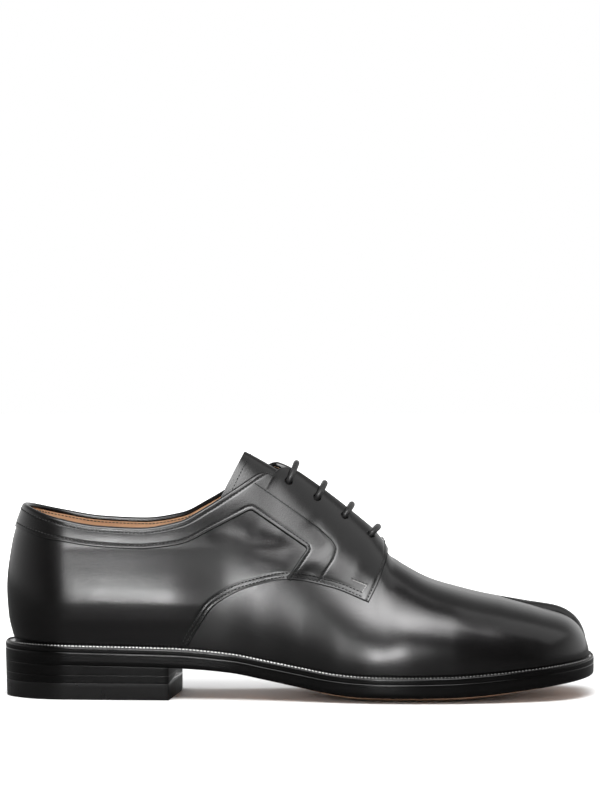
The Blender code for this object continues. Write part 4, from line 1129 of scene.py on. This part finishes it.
def collar_low_edge():
    """The overlay's lower edge in the side view: along the band to its peak, down the facing's back edge
    round its corner to its foot, and forward along the quarter's curve to the facing's front corner."""
    band_x = heel_crowded(FEATHER_INSET, COLLAR_PEAK[0], HEEL_STEPS, COLLAR_PARTS[0] - HEEL_STEPS)
    band = np.stack([band_x, smooth(band_x, COLLAR_EDGE[:, 0], COLLAR_EDGE[:, 1])], axis=1)
    band[:, 1] += (COLLAR_PEAK[1] - band[-1, 1]) * eased((band_x - PEAK_RISE_START) / PEAK_RISE_RUN)
    back = even_line([COLLAR_PEAK, FACING_CORNER], COLLAR_PARTS[1] + 1)[1:]
    heel_of_facing = even_line([FACING_CORNER, FACING_FOOT], COLLAR_PARTS[2] + 1)[1:]
    ahead = quarter_curve[quarter_curve[:, 0] > FACING_FOOT[0]]
    forward = even_line(np.concatenate([[FACING_FOOT], ahead]), COLLAR_PARTS[3] + 1)[1:]
    return np.concatenate([band, back, heel_of_facing, forward])


def rounded_corners(line, reach, first):
    """A line with its corners rounded from one point on: means of neighbours within reach along the line."""
    run, way = path_frames(np.pad(line, ((0, 0), (0, 1))))
    at = np.arange(run[first], run[-1], 0.0001)
    fine = np.stack([np.interp(at, run, line[:, axis]) for axis in range(2)], axis=1)
    fine = softened_line(fine, reach)
    places = run[first:]
    soft = np.stack([np.interp(places, at, fine[:, axis]) for axis in range(2)], axis=1)
    soft[-1] = line[-1]
    return np.concatenate([line[:first], soft])


def top_out(x):
    """How far the overlay's face stands off the last where its top edge rolls over: less along the collar."""
    return COLLAR_TOP_OUT + (THROAT_OUT - COLLAR_TOP_OUT) * eased((x - THROAT_RISE_START) / THROAT_RISE_RUN)


low_edge = rounded_corners(collar_low_edge(), CORNER_REACH, ROUND_FROM)
front_edge = softened_line(even_line(FACING_FRONT, 300), FRONT_REACH)


def collar_shape(side):
    """The overlay in (x, share up the wall): ruled from its lower edge to the line where its top edge starts
    to roll over, with the facing's curved front edge blended in towards the front."""
    low = low_edge
    part_ends = np.cumsum((0,) + COLLAR_PARTS)
    number = np.arange(len(low))
    top_x = np.interp(number, part_ends, TOP_STOPS)
    pace = (low[:, 0] - FEATHER_INSET) / (COLLAR_PEAK[0] - FEATHER_INSET)
    band_x = low[:, 0] + (TOP_STOPS[1] - COLLAR_PEAK[0]) * np.clip(pace, 0, 1) ** 2
    top_x = np.where(number <= part_ends[1], band_x, top_x)
    roll = (top_out(top_x) - ROLL_INSIDE) / 2
    low_share = share_at_height(low[:, 0], side, low[:, 1])
    top = top_share(top_x, side, roll)
    x = low[:, :1] + (top_x - low[:, 0])[:, None] * COLLAR_STEPS
    share = low_share[:, None] + (top - low_share)[:, None] * COLLAR_STEPS
    front = even_line(front_edge, 200)
    front_share = share_at_height(front[:, 0], side, front[:, 1])
    part = (front_share - front_share[0]) / (top[-1] - front_share[0])
    front_x = np.interp(COLLAR_STEPS, part, front[:, 0])
    weight = np.clip((number - part_ends[2]) / (len(low) - 1 - part_ends[2]), 0, 1)[:, None] ** 2
    return x + weight * (front_x - x[-1]), share


def collar_lift(x, share, side):
    """Height of the overlay's outer face off the last: over the quarter's leather along the band, rising a
    little to the throat, and settling on the vamp towards the facing's lower and front edges."""
    face = last(x, side, share)
    up = np.cumsum(np.linalg.norm(np.diff(face, axis=1, prepend=face[:, :1]), axis=-1), axis=1)
    run = np.cumsum(np.linalg.norm(np.diff(face, axis=0, prepend=face[:1]), axis=-1), axis=0)
    from_front = run[-1:] - run
    past_foot = eased((run[:, :1] - run[FOOT_NUMBER, 0]) / FOOT_SETTLE)
    settled = (1 - (1 - eased(up / FACING_SETTLE)) * past_foot) * eased(from_front / FACING_SETTLE)
    raised = COLLAR_OUT + (top_out(x) - COLLAR_OUT) * eased((COLLAR_STEPS - RAISE_START) / (1 - RAISE_START))
    return FACING_EDGE_OUT + (raised - FACING_EDGE_OUT) * settled


def collar_points(side, rows):
    """The overlay's outer face with its eyelets' level, then the top edge rolled over in a half circle and a
    lip down inside. Also its lift off the last."""
    x, share = collar_shape(side)
    lift = collar_lift(x, share, side)
    out = outward(x, side, share)
    height = section(x, side, share)[1]
    drawn_in = pressed(x, height, rows) + folds(x, height)
    face = last(x, side, share) + (lift - drawn_in)[..., None] * out
    rise = last(x, side, np.minimum(share + 1e-3, 1))[:, -1] - last(x, side, share - 1e-3)[:, -1]
    rise -= (rise * out[:, -1]).sum(axis=1, keepdims=True) * out[:, -1]
    rise /= np.linalg.norm(rise, axis=1, keepdims=True)
    radius = (lift[:, -1:] - ROLL_INSIDE) / 2
    centre = face[:, -1] - radius * out[:, -1]
    angle = np.linspace(0, np.pi, 13)[1:]
    ring = np.cos(angle)[:, None] * out[:, -1][:, None] + np.sin(angle)[:, None] * rise[:, None]
    rolled = centre[:, None] + radius[:, None] * ring
    lip = rolled[:, -1:] - ROLL_LIP * np.array((0.3, 0.6, 0.9, 1.0))[:, None] * rise[:, None]
    points = np.concatenate([face, rolled, lip], axis=1)
    points[0, :, 1] = middle(FEATHER_INSET) + side * BACK_SEAM_HALF
    return points, last(x, side, share), lift


seam_row = beside(even_line(low_edge[:FOOT_NUMBER], 900), SEAM_INSET)
front_row = beside(front_edge[:-FRONT_ROW_SHORT], FRONT_ROW)
lower_rows = [row[(row[:, 0] > LOWER_ROW_START) & (row[:, 0] < LOWER_ROW_END)] for row in quarter_rows]
stay_row = softened_line(even_line(STAY_ROW, 500), STAY_REACH)
tack_row = softened_line(even_line(TACK, 200), TACK_REACH)
tack_bar = even_line(TACK_BAR, 100)
tack_rows = []
for side, name in SIDE_NAMES.items():
    top_x = np.linspace(TOP_ROW_START, TOP_ROW_END, 500)
    top_z = smooth(top_x, TOPLINE["along"], TOPLINE[name])
    top_row = beside(np.stack([top_x, top_z], axis=1), -TOP_ROW)
    top_row = top_row[top_row[:, 0] < TOP_ROW_CUT]
    collar_rows = [seam_row, front_row, stay_row, top_row] + lower_rows
    points, bare, lift = collar_points(side, collar_rows)
    rows, columns = points.shape[:2]
    flat = points.reshape(-1, 3)
    places = eyelet_centres(side, 0.0)
    apart = np.linalg.norm(bare[None] - places[:, None, None], axis=-1)
    nearest = apart.reshape(len(places), -1).argmin(axis=1)
    holes = eyelet_centres(side, lift.ravel()[nearest])
    flat, faces = punched(flat, grid_quads(rows, columns), holes, EYELET_RADIUS)
    rim = rim_mark(bare[..., 0], bare[..., 2], np.concatenate([low_edge, front_edge]))
    rim = np.pad(rim, ((0, 0), (0, columns - rim.shape[1])))
    collar = make_piece("collar_facing_" + name, flat, faces, [CALF_LOOK, RAW_EDGE_LOOK], {"rim": rim})
    turn_outwards(collar)
    thicken(collar, COLLAR_WALL, CALF_SOFT)
    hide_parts("collar_" + name)
    for row in collar_rows + [tack_bar, tack_row]:
        on_last, normal = on_wall(row, side, 0.0)
        gap = np.linalg.norm(on_last[:, None] - bare.reshape(1, -1, 3), axis=-1)
        row_lift = lift.ravel()[gap.argmin(axis=1)] - SEAM_PRESS
        path = on_last + row_lift[:, None] * normal
        if row is tack_row:
            tack_rows.append(stitch_row(path, normal, TACK_PITCH, TACK_STITCH, SEAM_THREAD))
        else:
            seam_rows.append(stitch_row(path, normal, SEAM_PITCH, SEAM_STITCH, SEAM_THREAD))
    inner_row, inwards = on_wall(top_row, side, LINING_FACE)
    seam_rows.append(stitch_row(inner_row, -inwards, SEAM_PITCH, SEAM_STITCH, LINING_THREAD))

# Seam stitches: fine black thread along every seam of the upper and the tongue's band, and a tack at the
# foot of each facing whose pale grey is a painted highlight.
points, faces = join_stitches(seam_rows)
SEAM_THREAD_LOOK = make_thread_look(
    "seam_thread", dark=(0.0022, 0.0022, 0.0022, 1), light=(0.0060, 0.0058, 0.0057, 1), roughness=0.75)
seam_stitches = make_piece("seam_stitches", points, faces, [SEAM_THREAD_LOOK])
points, faces = join_stitches(tack_rows)
# The tack thread's pale grey tones are a painted highlight, for the light the thread catches
TACK_LOOK = make_thread_look(
    "tack_thread", dark=(0.16, 0.158, 0.155, 1), light=(0.30, 0.295, 0.29, 1), roughness=0.40)
facing_tacks = make_piece("facing_tacks", points, faces, [TACK_LOOK])

# Lace: one round waxed cord drawn straight across the throat in four bars, through the punched eyelets and
# flat between the facings and the tongue. Both ends stay hidden below the top eyelets.
LACE_RADIUS = 0.0015
LACE_INSIDE, LACE_FLAT = -0.0028, 0.62
LACE_OVER = THROAT_OUT + LACE_RADIUS + 0.0002
LACE_TAIL_ASIDE, LACE_BOW = 0.0046, 0.0024
BRAID_TURN, BRAID_STRANDS, BRAID_DEPTH = 0.0042, 4, 0.045


def lace_knots(x, side, off, lift):
    """Points for the cord at distances off the crest and heights off the last, with the way out at each."""
    off, lift, x = np.broadcast_arrays(np.asarray(off, float), np.asarray(lift, float), x)
    share = share_off_crest(x, side, off)
    out = outward(x, side, share)
    return np.concatenate([last(x, side, share) + lift[:, None] * out, out], axis=1)


def lace_bar(x, first_side):
    """One bar: up out of an eyelet, over the facing, straight across the throat and down into the other."""
    off = EYELET_FROM_CREST * np.array((1.0, 1.0, 0.97, 0.86, 0.66, 0.40, 0.15))
    lift = np.array((-0.0016, 0.0010, THROAT_OUT + 0.0006, LACE_OVER - 0.0003, LACE_OVER, LACE_OVER,
                     LACE_OVER))
    bowed = x + LACE_BOW * (1 - (off / EYELET_FROM_CREST) ** 2)
    start = lace_knots(bowed, first_side, off, lift)
    return np.concatenate([start, lace_knots(bowed, -first_side, off, lift)[::-1]])


def lace_route():
    """The whole cord: bar, hidden run to the next eyelet, bar, and at last a hidden tail up to the top
    eyelet. Each knot also says how round the cord is there."""
    side, parts, round_parts = MEDIAL, [], []
    for number, x in enumerate(EYELETS_ALONG):
        bar = lace_bar(x, side)
        parts.append(bar)
        round_parts.append(np.ones(len(bar)))
        side = -side
        if number < len(EYELETS_ALONG) - 1:
            between = x + (EYELETS_ALONG[number + 1] - x) * np.array((0.15, 0.5, 0.85))
        else:
            between = np.array((0.1835, 0.178, 0.168, 0.158, 0.150, 0.1445))
        aside = EYELET_FROM_CREST + (0.0 if number < len(EYELETS_ALONG) - 1 else LACE_TAIL_ASIDE)
        parts.append(lace_knots(between, side, aside, LACE_INSIDE))
        round_parts.append(np.full(len(between), LACE_FLAT))
    return np.concatenate(parts), np.concatenate(round_parts)


def through(knots, steps):
    """Catmull-Rom curve through the knots, with a number of steps from each knot to the next."""
    padded = np.concatenate([2 * knots[:1] - knots[1:2], knots, 2 * knots[-1:] - knots[-2:-1]])
    u = np.linspace(0, 1, steps, endpoint=False)[None, :, None]
    a, b, c, d = (padded[i:len(padded) - 3 + i][:, None] for i in range(4))
    curve = 0.5 * (2 * b + (c - a) * u + (2 * a - 5 * b + 4 * c - d) * u**2 + (3 * b - a - 3 * c + d) * u**3)
    return np.concatenate([curve.reshape(-1, knots.shape[1]), knots[-1:]])


def cord_points(knots, roundness):
    """A braided tube: rings across the curve through the knots, flattened along the way out of the leather
    where the cord is hidden, their radius rippled by two crossing families of strands."""
    fine = through(np.concatenate([knots, roundness[:, None]], axis=1), 16)
    path, out, flat = fine[:, :3], fine[:, 3:6], np.clip(fine[:, 6:], LACE_FLAT, 1)
    run, tangent = path_frames(path)
    across = np.cross(tangent, out)
    across /= np.linalg.norm(across, axis=1, keepdims=True)
    up = np.cross(across, tangent)
    angle = np.linspace(0, 2 * np.pi, 25)[:-1][None]
    phase = 2 * np.pi * run[:, None] / BRAID_TURN
    ripple = 1 + BRAID_DEPTH * np.sin(BRAID_STRANDS * angle + phase) * np.sin(BRAID_STRANDS * angle - phase)
    side_reach = LACE_RADIUS * ripple * np.cos(angle) * (2 - flat) ** 0.5
    up_reach = LACE_RADIUS * ripple * np.sin(angle) * flat
    tube = path[:, None] + side_reach[..., None] * across[:, None] + up_reach[..., None] * up[:, None]
    ends = [np.broadcast_to(path[place][None, None], (1, *tube.shape[1:])) for place in (0, -1)]
    return np.concatenate([ends[0], tube, ends[1]])


lace_points = cord_points(*lace_route())
LACE_LOOK = make_thread_look(
    "waxed_lace", dark=(0.0055, 0.0053, 0.0054, 1), light=(0.0140, 0.0136, 0.0138, 1), roughness=0.42)
lace = make_piece("lace_cord", lace_points, grid_quads(*lace_points.shape[:2], wrap=True), [LACE_LOOK])
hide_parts("lace_bar_1", "lace_bar_2", "lace_bar_3", "lace_bar_4")

# Stage: a pale floor that fades into a white surround and is dark where gloss reflects it. Three softboxes
# stand in front and above, one above and beyond the toe, and two low ones behind the camera. A wide light
# that gloss doesn't show lights the floor.
FLOOR_HALF, FLOOR_SHADE = 6.0, 0.97
FADE_START, FADE_END = 0.25, 0.9
BLACK, WHITE = (0, 0, 0, 1), (1, 1, 1, 1)
FLOOR_PALE, FLOOR_DARK = (0.9, 0.9, 0.9, 1), (0.02, 0.02, 0.02, 1)
SHOE_AIM, TOE_AIM, HEEL_AIM = (0, 0, 0.06), (0.12, 0, 0.06), (-0.10, 0, 0.07)
CAMERA_PLACE, CAMERA_AIM_HEIGHT = (0.0, -1.8, 0.1848), 0.1495
CAMERA_LENS, CAMERA_SENSOR = 159.2, 36.0
# Brightness of the surround by direction: for each axis two levels, and the places along it where they lie
SURROUND_SHADES = {
    "Y": (0.06, 0.95, -0.75, 0.35), "Z": (1.0, 0.30, 0.25, 0.60), "X": (1.0, 0.85, -0.10, 0.60)}

floor_look, floor_tree, floor_shader = new_look("pale_floor")
floor_place = {0: object_place(floor_tree)}
floor_reach = add_node(floor_tree, "ShaderNodeVectorMath", floor_place, operation="LENGTH")
in_gloss = add_node(floor_tree, "ShaderNodeLightPath").outputs["Is Glossy Ray"]
floor_dark = worked(floor_tree, "MULTIPLY", in_gloss, FLOOR_SHADE)
floor_glow = spread(floor_tree, floor_reach.outputs["Value"], 0.0, 1.0, FADE_START, FADE_END)
far_white = mix_colours(floor_tree, floor_glow, BLACK, WHITE)
glow = mix_colours(floor_tree, floor_dark, far_white, BLACK)
floor_tree.links.new(glow, floor_shader["Emission Color"])
base = mix_colours(floor_tree, floor_dark, FLOOR_PALE, FLOOR_DARK)
floor_tree.links.new(base, floor_shader["Base Color"])
floor_shader["Emission Strength"].default_value = 1.0
floor_shader["Roughness"].default_value = 0.55
floor_mesh = bpy.data.meshes.new("floor")
floor_corners = np.array(((-1, -1, 0), (1, -1, 0), (1, 1, 0), (-1, 1, 0))) * FLOOR_HALF
floor_mesh.from_pydata(floor_corners.tolist(), [], [(0, 1, 2, 3)])
floor_mesh.materials.append(floor_look)
floor = bpy.data.objects.new("floor", floor_mesh)
bpy.context.scene.collection.objects.link(floor)


def add_light(name, place, aim, size, power, shown_in_gloss=True):
    """A rectangular soft light at a place, turned to its aim."""
    lamp = bpy.data.lights.new(name, "AREA")
    lamp.shape = "RECTANGLE"
    lamp.size, lamp.size_y = size
    lamp.energy = power
    light = bpy.data.objects.new(name, lamp)
    way = np.subtract(aim, place)
    light.location = place
    light.rotation_euler = (np.arctan2(np.hypot(way[0], way[1]), -way[2]), 0, np.arctan2(-way[0], way[1]))
    light.visible_camera = False
    light.visible_glossy = shown_in_gloss
    bpy.context.scene.collection.objects.link(light)


add_light("front_softbox", (-0.10, -0.92, 1.24), SHOE_AIM, (1.05, 0.90), 18.0)
add_light("inner_softbox", (-0.17, -0.95, 1.20), SHOE_AIM, (0.50, 0.52), 8.0)
add_light("side_softbox", (0.28, -0.64, 1.38), SHOE_AIM, (0.60, 0.80), 6.5)
add_light("toe_softbox", (0.82, 0.10, 1.03), TOE_AIM, (1.00, 0.90), 2.2)
add_light("low_softbox", (-0.50, -2.50, 0.63), HEEL_AIM, (0.24, 0.46), 16.0)
add_light("low_fill", (-0.18, -2.50, 0.50), HEEL_AIM, (0.56, 0.40), 2.4)
add_light("floor_fill", (0.0, 0.2, 2.0), (0, 0, 0), (3.0, 3.0), 45.0, shown_in_gloss=False)

world = bpy.data.worlds.new("white_surround")
world.use_nodes = True
sky = world.node_tree
surround = sky.nodes["Background"].inputs
surround["Color"].default_value = WHITE
way = add_node(sky, "ShaderNodeTexCoord").outputs["Generated"]
parts = add_node(sky, "ShaderNodeSeparateXYZ", {0: way}).outputs
behind, above, ahead = [spread(sky, parts[axis], *shades) for axis, shades in SURROUND_SHADES.items()]
dimmed = worked(sky, "MULTIPLY", worked(sky, "MULTIPLY", behind, above), ahead)
seen = add_node(sky, "ShaderNodeLightPath").outputs["Is Camera Ray"]
sky.links.new(worked(sky, "MAXIMUM", dimmed, seen), surround["Strength"])
bpy.context.scene.world = world
bpy.context.scene.view_settings.view_transform = "Standard"

camera_lens = bpy.data.cameras.new("portrait")
camera_lens.lens = CAMERA_LENS
camera_lens.sensor_width = CAMERA_SENSOR
camera = bpy.data.objects.new("portrait", camera_lens)
camera.location = CAMERA_PLACE
camera.rotation_euler = (np.pi / 2 + np.arctan2(CAMERA_AIM_HEIGHT - CAMERA_PLACE[2], -CAMERA_PLACE[1]), 0, 0)
bpy.context.scene.collection.objects.link(camera)
bpy.context.scene.camera = camera
